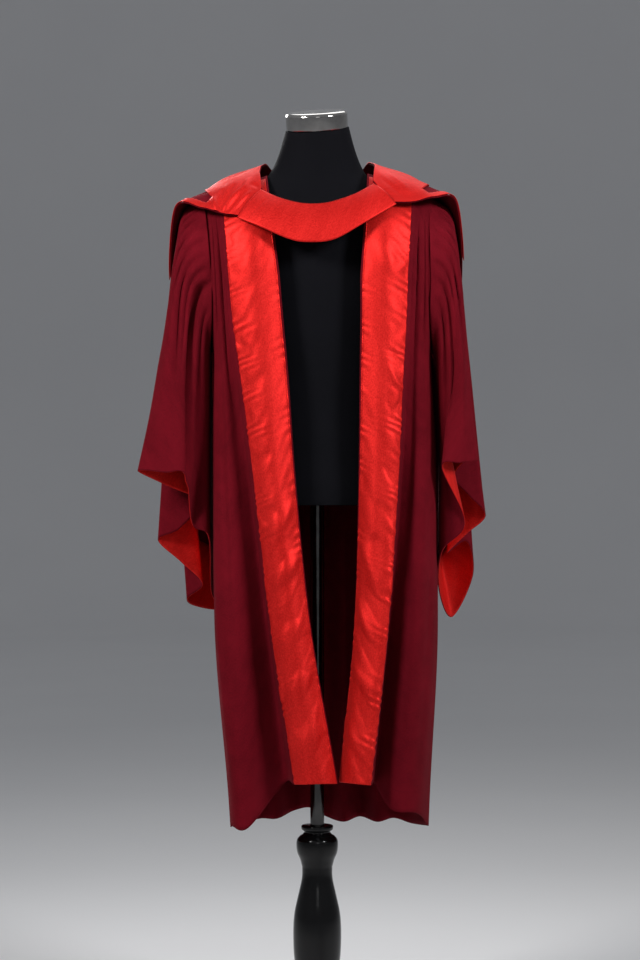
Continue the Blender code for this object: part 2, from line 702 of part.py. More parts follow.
def build():
    """The whole object."""
    clear_scene()
    torso = make_stand()
    panel_right, facing_right = make_front("right", FRONT_RIGHT, HEM_RIGHT, False)
    panel_left, facing_left = make_front("left", FRONT_LEFT, HEM_LEFT, True)
    back = make_back()
    sleeves = make_sleeve("right", SLEEVE_RIGHT, -1) + make_sleeve("left", SLEEVE_LEFT, 1)
    make_hood([torso, panel_right, facing_right, panel_left, facing_left, back] + sleeves)


build()
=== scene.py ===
# %% [markdown]
# # A doctoral gown and its hood on a dress form
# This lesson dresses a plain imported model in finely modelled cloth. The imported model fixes
# where everything is. Each step first says what the piece is on the real robe, then how it is
# made in Blender.

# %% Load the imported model
import json
import math

import bmesh
import bpy
import numpy as np
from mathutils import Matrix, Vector
from mathutils.bvhtree import BVHTree

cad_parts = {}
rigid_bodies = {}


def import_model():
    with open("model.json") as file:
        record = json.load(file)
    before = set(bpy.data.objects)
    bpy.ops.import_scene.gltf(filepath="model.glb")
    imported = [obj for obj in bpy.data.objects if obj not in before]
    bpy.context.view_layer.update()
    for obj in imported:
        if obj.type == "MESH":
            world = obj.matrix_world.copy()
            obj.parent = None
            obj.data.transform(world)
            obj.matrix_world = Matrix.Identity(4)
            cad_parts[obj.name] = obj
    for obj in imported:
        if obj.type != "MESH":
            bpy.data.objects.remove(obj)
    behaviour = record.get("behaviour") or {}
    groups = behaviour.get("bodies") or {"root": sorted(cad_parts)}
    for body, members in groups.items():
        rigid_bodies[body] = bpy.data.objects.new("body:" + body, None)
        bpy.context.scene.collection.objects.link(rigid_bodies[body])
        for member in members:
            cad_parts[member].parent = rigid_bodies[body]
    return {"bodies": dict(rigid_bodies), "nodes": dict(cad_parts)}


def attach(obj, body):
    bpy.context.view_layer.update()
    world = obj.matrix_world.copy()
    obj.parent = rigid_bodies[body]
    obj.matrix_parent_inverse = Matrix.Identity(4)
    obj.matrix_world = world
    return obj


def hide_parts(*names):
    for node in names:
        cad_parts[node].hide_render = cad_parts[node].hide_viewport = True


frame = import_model()
packed = set(frame["nodes"].values()) | set(frame["bodies"].values())
for item in list(bpy.data.objects):
    if item not in packed:
        bpy.data.objects.remove(item, do_unlink=True)
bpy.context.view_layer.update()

# %% [markdown]
# ## Smooth curves
# Cloth has no corners, so every line of the garment is a smooth curve through a few places.
# A cubic curve through the values, with the slope at each value taken from its neighbours, is
# enough. The steady kind never swings past its values, which keeps seams from crossing.

# %% Curves through values
MM = 0.001


def through(places, values, at, steady=False):
    """A smooth curve through values at rising places, read at each number in at."""
    places = np.asarray(places, float)
    values = np.asarray(values, float)
    slopes = np.gradient(values, places, axis=0)
    if steady:
        rises = np.diff(values, axis=0) / np.diff(places)[:, None]
        turns = rises[:-1] * rises[1:] <= 0
        limit = 2 * np.minimum(np.abs(rises[:-1]), np.abs(rises[1:]))
        slopes[1:-1] = np.where(turns, 0, np.clip(slopes[1:-1], -limit, limit))
    at = np.clip(np.asarray(at, float), places[0], places[-1])
    index = np.clip(np.searchsorted(places, at, side="right") - 1, 0, len(places) - 2)
    width = places[index + 1] - places[index]
    shape = (-1,) + (1,) * (values.ndim - 1)
    part = ((at - places[index]) / width).reshape(shape)
    width = width.reshape(shape)
    low, high = values[index], values[index + 1]
    rising = (1 + 2 * part) * (1 - part) ** 2 * low + part * (1 - part) ** 2 * width * slopes[index]
    falling = part ** 2 * (3 - 2 * part) * high - part ** 2 * (1 - part) * width * slopes[index + 1]
    return rising + falling


def through_loop(values, at):
    """A smooth closed curve through evenly numbered values, read at each number in at."""
    wrapped = np.concatenate((values[-3:], values, values[:3]))
    return through(np.arange(-3, len(values) + 3), wrapped, at)


def smooth_step(low, high, at):
    """0 below low, 1 above high, and a soft rise between."""
    part = np.clip((at - low) / (high - low), 0, 1)
    return part * part * (3 - 2 * part)


print("a curve half way between 0 and 1 reads", through([0, 1], [[0.0], [1.0]], [0.5])[0, 0])

# %% [markdown]
# ## The gown's lines
# A maker drapes a gown as a few vertical lines that run from the shoulder seam to the hem: the
# front edge, the facing's ridge, its outer edge, the valley beside it, the column of cloth that
# hangs from the chest, the corner and the side seam. Each row below says where one line is in
# plan at six heights, and then where it meets the shoulder seam, so that the folds follow the
# photograph.

# %% Tables of the panels' lines
SEAM_GAP = 0.0003
LEVELS = (0.42, 0.75, 1.00, 1.20, 1.30, 1.36)
# One row for each line: x and y in mm at each of the levels, then x at the shoulder seam
FRONT_RIGHT = {
    "edge": ((44, -142), (-12, -138), (-38, -132), (-52, -130), (-61, -128), (-66, -126), -90),
    "ridge": ((8, -158), (-45, -156), (-75, -149), (-95, -141), (-108, -137), (-112, -134), -130),
    "outer": ((-31, -140), (-80, -134), (-109, -129), (-135, -124), (-149, -121), (-154, -118), -168),
    "valley": ((-54, -84), (-92, -90), (-122, -100), (-146, -103), (-160, -108), (-163, -108), -176),
    "column": ((-122, -128), (-146, -124), (-158, -108), (-167, -96), (-172, -99), (-175, -101), -185),
    "corner": ((-150, -104), (-176, -92), (-180, -80), (-182, -58), (-182, -88), (-183, -93), -194),
    "side": ((-158, -4), (-184, -4), (-187, -4), (-187, -4), (-187, -72), (-188, -84), -203),
}
FRONT_LEFT = {
    "edge": ((34, -124), (66, -122), (73, -126), (75, -128), (76, -128), (76, -126), 90),
    "ridge": ((56, -160), (88, -152), (105, -146), (114, -140), (119, -136), (120, -134), 130),
    "outer": ((86, -176), (122, -164), (140, -138), (150, -128), (156, -122), (158, -118), 168),
    "valley": ((98, -96), (127, -98), (148, -102), (160, -104), (168, -108), (170, -106), 176),
    "column": ((130, -132), (160, -122), (176, -112), (180, -98), (184, -100), (186, -100), 186),
    "corner": ((176, -104), (200, -86), (204, -76), (200, -56), (196, -88), (194, -93), 195),
    "side": ((201, -4), (216, -4), (216, -4), (205, -4), (203, -72), (200, -84), 204),
}
HEM_RIGHT = (470, 472, 469, 464, 392, 391, 376)
HEM_LEFT = (471, 473, 472, 466, 424, 414, 378)
FACING_INNER = 0.08
FACING_OUTER = 2.0
BACK_CORNER_RIGHT = ((-138, 104), (-160, 100), (-166, 96), (-168, 92), (-168, 98), (-168, 98))
BACK_CORNER_LEFT = ((174, 104), (188, 100), (192, 96), (186, 92), (176, 98), (172, 98))
BACK_DEPTH = (150, 146, 140, 132, 128, 124)
FLUTE_DEPTH = (17, 14, 10, 7, 5, 4)
FLUTES = 5
BACK_HEM = 366
# How far the back hem rises at each flute line, from the right corner to the left
BACK_HEM_LIFTS = (2, 7, 9, 18, 27, 5, 1, 7, 3, 8, 2)
SHOULDER_HEIGHT = 1.549
SHOULDER_SLOPE = 0.33
SHOULDER_TILT = 0.02
SHOULDER_BEND_HEIGHT = 1.36
NECK_HALF_WIDTH = 0.088
NECK_HALF_DEPTH = 0.080
NECKLINE_HALF_WIDTH = 0.130
# A line runs on below its lowest level by this much, leaning by a share of its last step
RUN_ON = 0.06
RUN_ON_LEAN = 0.15
# How far behind the shoulder the back's side seams lie at the two highest levels, in mm
BACK_SIDE_TOPS = (74, 86)
BACK_SEAM_HALF = 190
FLUTE_FADE = 2.2
print("lines in a front panel:", ", ".join(FRONT_RIGHT))

# %% [markdown]
# ## Hanging a panel
# Below the collar bone the cloth falls straight, so a line's rows are level. Above it the cloth
# bends back over the shoulder to the seam, like a quarter of an ellipse. Sampling the lines
# finely and joining them row by row gives one grid of points, which is the panel's surface.

# %% Grids of points


def shoulder_height(x):
    """Height of the gown's shoulder seam at x."""
    fall = max(abs(x) - NECK_HALF_WIDTH, 0) * SHOULDER_SLOPE
    return SHOULDER_HEIGHT - fall + SHOULDER_TILT * x


def hang(lines, hems, seam_y, straight_rows, bend_rows):
    """Points of a panel's vertical lines, from the hem up and over to the shoulder seam."""
    straight = np.linspace(0, 1, straight_rows)
    bend = np.linspace(0, math.pi / 2, bend_rows + 1)[1:]
    columns = []
    for line, hem in zip(lines, hems):
        plan = np.array(line[:-1], float) * MM
        heights = hem * MM + (SHOULDER_BEND_HEIGHT - hem * MM) * straight
        lowest = plan[0] + (plan[0] - plan[1]) * RUN_ON_LEAN
        flat = through((LEVELS[0] - RUN_ON,) + LEVELS, np.vstack((lowest, plan)), heights, steady=True)
        seam_x = line[-1] * MM
        top = shoulder_height(seam_x)
        end = seam_y(seam_x)
        x = flat[-1, 0] + (seam_x - flat[-1, 0]) * np.sin(bend)
        y = end + (flat[-1, 1] - end) * np.cos(bend)
        z = SHOULDER_BEND_HEIGHT + (top - SHOULDER_BEND_HEIGHT) * np.sin(bend)
        columns.append(np.vstack((np.column_stack((flat, heights)), np.column_stack((x, y, z)))))
    return np.stack(columns, axis=1)


def across(columns, samples):
    """Join the points of each row by a smooth curve."""
    return np.swapaxes(through(np.arange(columns.shape[1]), np.swapaxes(columns, 0, 1), samples), 0, 1)


def front_grid(table, hems, samples, rows):
    """A front panel's surface, from its front edge to its side seam."""
    lines = list(table.values())
    grid = across(hang(lines, hems, lambda x: -SEAM_GAP / 2, *rows), samples)
    grid[-1, :, 1] = np.minimum(grid[-1, :, 1], -SEAM_GAP / 2)
    return grid


def back_neck_y(x):
    """How far behind the shoulder seam the back's top edge lies, round the neck."""
    part = min(abs(x) / NECKLINE_HALF_WIDTH, 1)
    return SEAM_GAP / 2 + NECK_HALF_DEPTH * (1 - part * part) ** 2


def back_lines():
    """The back's vertical lines: side seams, corners and flutes."""
    side_gap = SEAM_GAP / MM
    sides = []
    for table, seam_x in ((FRONT_RIGHT, -203), (FRONT_LEFT, 204)):
        places = [(x, y + side_gap) for x, y in table["side"][:4]]
        places += [(place[0], y) for place, y in zip(table["side"][4:6], BACK_SIDE_TOPS)]
        sides.append(tuple(places) + (seam_x,))
    lines = [sides[0]]
    hems = [HEM_RIGHT[-1]]
    for number in range(2 * FLUTES + 1):
        part = number / (2 * FLUTES)
        arch = math.sin(math.pi * part)
        places = []
        for low, high, depth, flute in zip(BACK_CORNER_RIGHT, BACK_CORNER_LEFT, BACK_DEPTH, FLUTE_DEPTH):
            side_y = low[1] + (high[1] - low[1]) * part
            wave = flute * (1 if number % 2 else -1) * min(1, FLUTE_FADE * arch)
            places.append((low[0] + (high[0] - low[0]) * part, side_y + (depth - side_y) * arch + wave))
        lines.append(tuple(places) + (-BACK_SEAM_HALF + 2 * BACK_SEAM_HALF * part,))
        hems.append(BACK_HEM + BACK_HEM_LIFTS[number])
    return lines + [sides[1]], hems + [HEM_LEFT[-1]]


def back_grid(per_line, rows):
    """The back panel's surface, from the right side seam to the left."""
    lines, hems = back_lines()
    samples = np.linspace(0, len(lines) - 1, per_line * (len(lines) - 1) + 1)
    grid = across(hang(lines, hems, back_neck_y, *rows), samples)
    grid[-1, :, 1] = np.maximum(grid[-1, :, 1], SEAM_GAP / 2)
    return grid


PANEL_ROWS = (118, 26)
PANEL_SAMPLES = np.unique(np.append(np.linspace(0, 6, 97), FACING_INNER))
print("points in a front panel:", len(PANEL_SAMPLES) * sum(PANEL_ROWS))

# %% [markdown]
# ## Creases
# A crease is a soft trough or ridge along a short line. It is strongest in its middle and fades
# towards its ends and sides. Moving each point of a grid along the surface's own direction by
# the sum of its creases keeps the cloth one sheet.

# %% Normals, lengths and creases


def grid_normals(grid, loop=False):
    """The unit normal at each point of a grid."""
    if loop:
        along = np.roll(grid, -1, axis=1) - np.roll(grid, 1, axis=1)
    else:
        along = np.gradient(grid, axis=1)
    normal = np.cross(along, np.gradient(grid, axis=0))
    return normal / np.maximum(np.linalg.norm(normal, axis=2, keepdims=True), 1e-9)


def cloth_lengths(grid):
    """How far each point lies across and up the cloth, measured on its surface."""
    steps = np.linalg.norm(np.diff(grid, axis=1), axis=2)
    across_cloth = np.pad(np.cumsum(steps, axis=1), ((0, 0), (1, 0)))
    steps = np.linalg.norm(np.diff(grid, axis=0), axis=2)
    up_cloth = np.pad(np.cumsum(steps, axis=0), ((1, 0), (0, 0)))
    return across_cloth, up_cloth


def creased(first, second, rows):
    """The sum of the creases at each place. A row: start, end, width and height."""
    total = np.zeros_like(first)
    for start_first, start_second, end_first, end_second, width, height in rows:
        run = np.array((end_first - start_first, end_second - start_second))
        length = np.linalg.norm(run)
        run = run / length
        along = ((first - start_first) * run[0] + (second - start_second) * run[1]) / length
        aside = (first - start_first) * run[1] - (second - start_second) * run[0]
        fade = np.maximum(np.sin(math.pi * np.clip(along, 0, 1)), 0) ** 0.8
        total += height * fade * np.exp(-((aside / width) ** 2))
    return total


def uneven(at, seed):
    """A smooth uneven wave between about -1 and 1."""
    wave = 0.0
    for number, pitch in enumerate((0.061, 0.113, 0.197)):
        phase = at / pitch * 2 * math.pi + seed * (number + 1.3)
        wave = wave + math.sin(seed * 1.7 + number) * np.sin(phase)
    return wave / 1.6


print("a crease is", round(float(creased(np.array(0.5), np.array(0.0), [(0, 0, 1, 0, 0.1, 2)])), 2), "high")

# %% [markdown]
# ## From a grid to a sheet of cloth
# A sheet is a thin closed wall: the grid's points moved a little in and a little out, joined
# round the edge. It carries a UV map in metres of cloth, so that a weave keeps its size and
# follows the folds. Everything that lies on a panel is made from the panel's points, moved out.

# %% Make a sheet
CLOTH = 0.0011
SATIN = 0.0009
made_sheets = {}


def sheet_mesh(name, grid, normals, low, high, loop=False, rows=None, columns=None, keep=None):
    """A thin closed wall between two offsets of a grid, with a UV map in metres of cloth."""
    row_first, row_last = rows or (0, grid.shape[0] - 1)
    width = grid.shape[1]
    column_first, column_last = (0, width) if loop else (columns or (0, width - 1))
    inner = (grid + normals * low).reshape(-1, 3)
    outer = (grid + normals * high).reshape(-1, 3)
    across_cloth, up_cloth = cloth_lengths(grid)
    flat_places = np.stack((across_cloth, up_cloth), axis=2).reshape(-1, 2)
    row_ids, column_ids = np.meshgrid(np.arange(row_first, row_last),
                                      np.arange(column_first, column_last), indexing="ij")
    row_ids, column_ids = row_ids.ravel(), column_ids.ravel()
    if keep is not None:
        wanted = keep(row_ids, column_ids)
        row_ids, column_ids = row_ids[wanted], column_ids[wanted]
    after = (column_ids + 1) % width
    quads = np.stack((row_ids * width + column_ids, row_ids * width + after,
                      (row_ids + 1) * width + after, (row_ids + 1) * width + column_ids), axis=1)
    used, numbered = np.unique(quads, return_inverse=True)
    numbered = numbered.reshape(quads.shape)
    half = len(used)
    edges = {}
    for quad in numbered.tolist():
        for here, there in zip(quad, quad[1:] + quad[:1]):
            edges[(here, there)] = True
    rim = [(here, there, there + half, here + half) for here, there in edges
           if (there, here) not in edges]
    faces = [tuple(quad[::-1]) for quad in numbered.tolist()]
    faces += [tuple(corner + half for corner in quad) for quad in numbered.tolist()]
    faces += rim
    mesh = bpy.data.meshes.new(name)
    mesh.from_pydata(np.concatenate((inner[used], outer[used])).tolist(), [], faces)
    layer = mesh.uv_layers.new(name="cloth")
    places = np.concatenate((flat_places[used], flat_places[used]))
    corner_vertices = np.empty(len(mesh.loops), dtype=np.int32)
    mesh.loops.foreach_get("vertex_index", corner_vertices)
    layer.data.foreach_set("uv", places[corner_vertices].astype(np.float32).ravel())
    shape = bmesh.new()
    shape.from_mesh(mesh)
    bmesh.ops.recalc_face_normals(shape, faces=shape.faces)
    shape.to_mesh(mesh)
    shape.free()
    mesh.shade_smooth()
    made = bpy.data.objects.new(name, mesh)
    bpy.context.scene.collection.objects.link(made)
    made_sheets[name] = made
    return made


# %% Attaching a sheet


def declare(piece, nodes, rests_on):
    """Attach a sheet to the frame and hide the imported parts that it stands for."""
    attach(piece, "root")
    if nodes:
        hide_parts(*nodes)


# %% [markdown]
# ## The front panels
# Each front hangs from the shoulder in one deep valley beside the facing and one full column.
# Long soft troughs run down between them, and the hem is turned up 36 mm, which leaves a line
# of stitches.

# %% Front panels
# Creases of a front panel: line number and height in metres at start and end, width, height
FRONT_CREASES_RIGHT = (
    (3.4, 1.42, 3.3, 0.95, 0.22, -0.0030),
    (4.3, 1.30, 4.1, 0.62, 0.26, -0.0035),
    (4.8, 1.18, 4.9, 0.50, 0.22, 0.0035),
    (5.2, 0.92, 5.3, 0.40, 0.24, -0.0030),
    (3.7, 0.85, 3.8, 0.42, 0.20, 0.0030),
    (2.6, 1.44, 2.7, 1.15, 0.16, -0.0020),
    (3.5, 1.48, 3.6, 1.16, 0.14, -0.0055),
    (4.5, 1.48, 4.5, 1.22, 0.13, -0.0050),
    (5.4, 1.46, 5.3, 1.10, 0.14, -0.0050),
)
FRONT_CREASES_LEFT = (
    (2.7, 1.45, 2.7, 1.10, 0.18, -0.0025),
    (3.4, 1.48, 3.4, 1.20, 0.13, -0.0050),
    (4.4, 1.48, 4.5, 1.14, 0.14, -0.0055),
    (5.3, 1.46, 5.2, 1.18, 0.13, -0.0045),
    (3.5, 1.38, 3.6, 0.80, 0.24, -0.0040),
    (4.4, 1.25, 4.3, 0.52, 0.24, 0.0035),
    (4.9, 1.05, 5.0, 0.44, 0.22, -0.0035),
    (3.9, 0.80, 3.8, 0.46, 0.20, 0.0030),
)
HEM_FOLD = 0.036


def dressed_front(table, hems, crease_rows, samples, rows):
    """A front panel's grid with its creases, and its outward normals."""
    grid = front_grid(table, hems, samples, rows)
    outwards = 1 if table is FRONT_LEFT else -1
    normals = grid_normals(grid) * outwards
    line_number = np.broadcast_to(samples, grid.shape[:2])
    depth = creased(line_number * 1.0, grid[:, :, 2], crease_rows)
    # The cloth lies smooth under the facing, at the side seam and under the hood
    free = smooth_step(FACING_OUTER + 0.15, FACING_OUTER + 0.5, line_number)
    seam = 1 - smooth_step(5.6, 6.0, line_number)
    top = 1 - smooth_step(1.40, 1.50, grid[:, :, 2])
    grid = grid + normals * (depth * free * seam * top)[:, :, None]
    return grid, grid_normals(grid) * outwards


front_facts = {}
for side, table, hems, crease_rows in (("right", FRONT_RIGHT, HEM_RIGHT, FRONT_CREASES_RIGHT),
                                       ("left", FRONT_LEFT, HEM_LEFT, FRONT_CREASES_LEFT)):
    grid, normals = dressed_front(table, hems, crease_rows, PANEL_SAMPLES, PANEL_ROWS)
    panel = sheet_mesh("front_panel_" + side, grid, normals, 0, CLOTH)
    declare(panel, ["gown_front_" + side], ["form_torso"])
    front_facts[side] = (table, hems, crease_rows)

# %% [markdown]
# ## The satin facings
# The facing is a band of satin stitched to the panel along both long edges. The thread draws the
# satin up a little, so each edge puckers every 26 mm or so, and the loose middle falls in slanting
# creases that climb from the outer edge to the inner one. The band is the panel's own surface,
# sampled more finely and moved out.

# %% Facings
FACING_ROWS = (430, 60)
FACING_SAMPLES = np.linspace(FACING_INNER, FACING_OUTER, 49)
FACING_WIDTH = 0.09
PUCKER_PITCH = 0.026
PUCKER_SLOPE = 0.75
# Puckers at the outer and the inner edge: how far they reach, their height and their shift
PUCKERS = {"outer": (0.017, 0.00200, 0.0), "inner": (0.010, 0.00110, 0.9)}
# Below this height the cloth hangs looser, and the creases are wider and higher than above it
LOOSE_BELOW = 0.93
LOOSE_SCALES = (1.5, 1.25)
TAUT_SCALES = (1.1, 0.9)
MIDDLE_FULLNESS = 0.0018
MIDDLE_WAVE = 0.0005
ROLLED_EDGE = 0.0007
# The air between panel and facing, and the facing's top rows that the hood hides
FACING_AIR = 0.0004
HIDDEN_ROWS = 14
# Slanting creases of the facings, all in mm: distance from the inner edge and height above the
# floor at the outer, lower end and at the inner, upper end, then width and height
FACING_CREASES_RIGHT = (
    (88, 1405, 30, 1445, 7.0, -1.6), (80, 1330, 28, 1385, 8.0, 1.2), (86, 1140, 46, 1190, 6.0, -1.6),
    (88, 1020, 40, 1050, 7.0, -2.2), (85, 925, 44, 952, 6.5, -2.4), (60, 900, 4, 968, 8.0, 2.2),
    (84, 832, 10, 905, 9.0, -2.6), (70, 800, 2, 880, 7.5, 2.6), (88, 770, 20, 842, 8.0, -2.6),
    (60, 720, 4, 822, 7.5, -3.0), (86, 700, 26, 760, 9.0, 2.4), (80, 640, 4, 735, 8.5, -3.2),
    (88, 590, 30, 668, 8.0, 2.8), (70, 560, 4, 655, 8.0, -3.0), (86, 505, 16, 580, 9.0, 2.8),
    (56, 480, 2, 560, 7.0, -2.6),
)
FACING_CREASES_LEFT = (
    (86, 1400, 30, 1455, 6.0, -2.4), (88, 1372, 44, 1412, 5.5, -2.2), (70, 1330, 26, 1430, 12.0, 1.8),
    (88, 1190, 56, 1232, 6.0, -1.8), (88, 1150, 52, 1205, 5.5, 1.6), (84, 1085, 50, 1150, 6.0, -1.8),
    (88, 985, 52, 1030, 6.0, -2.4), (86, 930, 46, 965, 7.0, -2.2), (88, 850, 40, 905, 7.5, -2.6),
    (72, 800, 4, 905, 8.5, 2.4), (88, 742, 18, 830, 8.0, -3.0), (60, 715, 4, 800, 7.5, 2.6),
    (88, 665, 14, 752, 8.5, -3.2), (78, 620, 4, 690, 7.5, 2.8), (86, 560, 20, 652, 8.0, -3.0),
    (70, 510, 4, 590, 8.0, 2.8), (86, 485, 30, 545, 7.0, -2.2),
)

# %% Relief of the facings


def satin_relief(side, grid):
    """How far the facing stands out at each point: puckers at its edges and slanting creases."""
    inwards, _ = cloth_lengths(grid)
    width = inwards[:, -1:]
    from_inner = inwards / width * FACING_WIDTH
    from_outer = FACING_WIDTH - from_inner
    height = grid[:, :, 2]
    seed = 1.0 if side == "right" else 2.3
    relief = np.zeros_like(height)
    # The puckers' spacing and strength wander along each edge
    for distance, (reach, size, shift) in ((from_outer, PUCKERS["outer"]), (from_inner, PUCKERS["inner"])):
        phase = (height - PUCKER_SLOPE * from_outer) / PUCKER_PITCH + 0.85 * uneven(height, seed + shift)
        strength = 0.55 + 0.45 * uneven(height * 0.7, seed + 3 + shift)
        relief += size * strength * np.exp(-distance / reach) * np.sin(2 * math.pi * phase + shift)
    rows = FACING_CREASES_RIGHT if side == "right" else FACING_CREASES_LEFT
    held = np.minimum(1, np.minimum(from_inner, from_outer) / 0.006 + 0.35)
    scaled = []
    for row in rows:
        first, low, second, high, wide, deep = (value * MM for value in row)
        wider, deeper = LOOSE_SCALES if low < LOOSE_BELOW else TAUT_SCALES
        scaled.append((first, low, second, high, wide * wider, deep * deeper))
    relief += creased(from_inner, height, scaled) * held
    middle = np.maximum(np.sin(math.pi * from_inner / FACING_WIDTH), 0) ** 0.7
    relief += MIDDLE_FULLNESS * middle
    relief += ROLLED_EDGE * np.exp(-np.minimum(from_inner, from_outer) / 0.003)
    relief += MIDDLE_WAVE * uneven(height * 1.9 + from_inner * 3, seed + 5) * middle
    return np.maximum(relief, 0.0001)


for side, (table, hems, crease_rows) in front_facts.items():
    grid, normals = dressed_front(table, hems, crease_rows, FACING_SAMPLES, FACING_ROWS)
    relief = satin_relief(side, grid)
    lifted = grid + normals * (CLOTH + FACING_AIR + relief)[:, :, None]
    lifted_normals = grid_normals(lifted) * (1 if side == "left" else -1)
    under_hood = lifted.shape[0] - HIDDEN_ROWS
    facing = sheet_mesh("satin_facing_" + side, lifted, lifted_normals, 0, SATIN, rows=(0, under_hood))
    declare(facing, ["facing_" + side],
            ["front_panel_" + side])

# %% [markdown]
# ## The back panel
# The back is gathered into the shoulders and falls in five soft flutes that deepen towards the
# hem. Shallow troughs of uneven length between them stop the flutes from looking stamped.

# %% Back panel
BACK_CREASES = (
    (1.8, 1.44, 1.6, 0.90, 0.28, -0.0035), (2.7, 1.40, 2.9, 0.60, 0.24, 0.0030),
    (3.6, 1.46, 3.5, 1.05, 0.22, -0.0030), (4.4, 1.38, 4.2, 0.48, 0.26, -0.0035),
    (5.3, 1.30, 5.5, 0.70, 0.22, 0.0028), (6.4, 1.45, 6.3, 0.82, 0.24, -0.0032),
    (7.2, 1.36, 7.4, 0.44, 0.26, 0.0030), (8.3, 1.42, 8.1, 0.95, 0.22, -0.0034),
    (9.2, 1.28, 9.4, 0.50, 0.26, -0.0030), (10.1, 1.40, 10.3, 0.85, 0.26, 0.0030),
    (11.0, 1.20, 10.8, 0.45, 0.24, -0.0028),
)
PER_LINE = 12
grid = back_grid(PER_LINE, PANEL_ROWS)
normals = -grid_normals(grid)
line_number = np.broadcast_to(np.arange(grid.shape[1]) / PER_LINE, grid.shape[:2]) * 1.0
last_line = (grid.shape[1] - 1) / PER_LINE
edges = smooth_step(0, 0.5, line_number) * (1 - smooth_step(last_line - 0.5, last_line, line_number))
top = 1 - smooth_step(1.42, 1.50, grid[:, :, 2])
grid = grid + normals * (creased(line_number, grid[:, :, 2], BACK_CREASES) * edges * top)[:, :, None]
back_panel = sheet_mesh("back_panel", grid, -grid_normals(grid), 0, CLOTH)
declare(back_panel, ["gown_back"], ["form_torso"])

# %% [markdown]
# ## The sleeves
# An open bell sleeve is gathered into the armhole and falls in three folds, whose hems step
# down towards the back. Each row of the table is one fold line: it leaves the armhole, turns
# over the shoulder's end and drops to its place on the hem. A closed curve through the lines at
# every height gives the tube. The gathers at the sleeve's head are narrow troughs that fade out
# on the way down, uneven as they are when a thread draws them up.

# %% Sleeve lines
# One row for each fold line, in mm: armhole y and z, then x just past the shoulder, x half
# way down, and the hem's x, y and z, with x measured outwards
SLEEVE_RIGHT = (
    (-48, 1236, 192, 193, 193, -44, 898),
    (-84, 1290, 199, 208, 222, -54, 922),
    (-86, 1350, 215, 226, 231, -104, 1008),
    (-88, 1402, 236, 250, 268, -108, 1013),
    (-74, 1452, 246, 274, 317, -76, 1016),
    (-54, 1482, 248, 260, 268, -48, 990),
    (-34, 1498, 247, 236, 212, -22, 960),
    (-14, 1506, 248, 250, 248, -12, 912),
    (6, 1508, 249, 268, 286, 0, 892),
    (26, 1504, 248, 252, 246, 14, 852),
    (44, 1494, 247, 236, 208, 26, 812),
    (62, 1470, 246, 250, 236, 48, 785),
    (80, 1420, 236, 244, 224, 72, 770),
    (88, 1330, 204, 190, 182, 104, 763),
    (48, 1236, 192, 193, 193, 50, 800),
)
SLEEVE_LEFT = (
    (-48, 1236, 213, 220, 222, -46, 872),
    (-84, 1290, 215, 222, 262, -62, 924),
    (-88, 1350, 226, 234, 220, -98, 1022),
    (-88, 1402, 236, 250, 252, -108, 1030),
    (-74, 1452, 245, 264, 284, -82, 1034),
    (-54, 1482, 246, 256, 264, -50, 1034),
    (-34, 1498, 245, 242, 244, -34, 1004),
    (-14, 1506, 246, 254, 272, -22, 972),
    (6, 1508, 247, 270, 302, -6, 936),
    (26, 1504, 246, 260, 270, 12, 903),
    (44, 1494, 246, 246, 236, 24, 868),
    (62, 1470, 246, 260, 272, 46, 888),
    (80, 1420, 236, 256, 284, 72, 825),
    (86, 1330, 212, 200, 248, 100, 748),
    (48, 1236, 213, 220, 222, 50, 800),
)
ARMHOLE_X = (0.1925, 0.206)
ARMHOLE_LEFT_SHIFT = 0.0158
ARMHOLE_RISE = (1.36, 0.14)
# The sleeve's head laps over the front panel's edge, by this much and by these shares of it,
# one for each of the first fold lines
HEAD_LAP = {-1: 0.0062, 1: 0.0082}
LAP_SHARES = (0.25, 1, 1, 1, 1, 0.9, 0.5)
print(len(SLEEVE_RIGHT), "fold lines in a sleeve")

# %% Sleeve creases and grid
SLEEVE_ROWS = 112
SLEEVE_STEP = 13
LINING_START = 0.80
GATHER_START = 0.04
# Every depth and height in the tables below is made this many times as large
RELIEF_SCALE = 1.5
# Gathers start at the sleeve's head. Line number there, line number and part of the way down
# at the end, then width in lines and depth in mm. Other creases also name the part of the way
# down at their start, and have a height in mm, below zero for a trough.
GATHERS_RIGHT = (
    (2.15, 1.70, 0.98, 0.20, 16.5), (3.10, 2.95, 0.60, 0.15, 6.0), (3.62, 3.50, 0.36, 0.13, 4.6),
    (4.15, 4.20, 0.56, 0.15, 4.6), (4.72, 4.68, 0.24, 0.11, 3.0), (5.25, 5.40, 0.34, 0.12, 3.4),
    (5.80, 5.85, 0.22, 0.11, 2.8), (6.35, 6.40, 0.40, 0.13, 3.4), (6.90, 6.95, 0.26, 0.11, 2.8),
    (7.45, 7.50, 0.44, 0.13, 3.6), (8.05, 8.00, 0.25, 0.11, 2.8), (8.60, 8.55, 0.36, 0.12, 3.4),
    (9.20, 9.25, 0.48, 0.13, 3.6), (9.80, 9.85, 0.26, 0.11, 2.8), (10.40, 10.30, 0.38, 0.12, 3.4),
    (11.00, 11.10, 0.50, 0.14, 3.6), (11.60, 11.60, 0.30, 0.12, 3.0), (12.25, 12.20, 0.44, 0.14, 3.4),
)
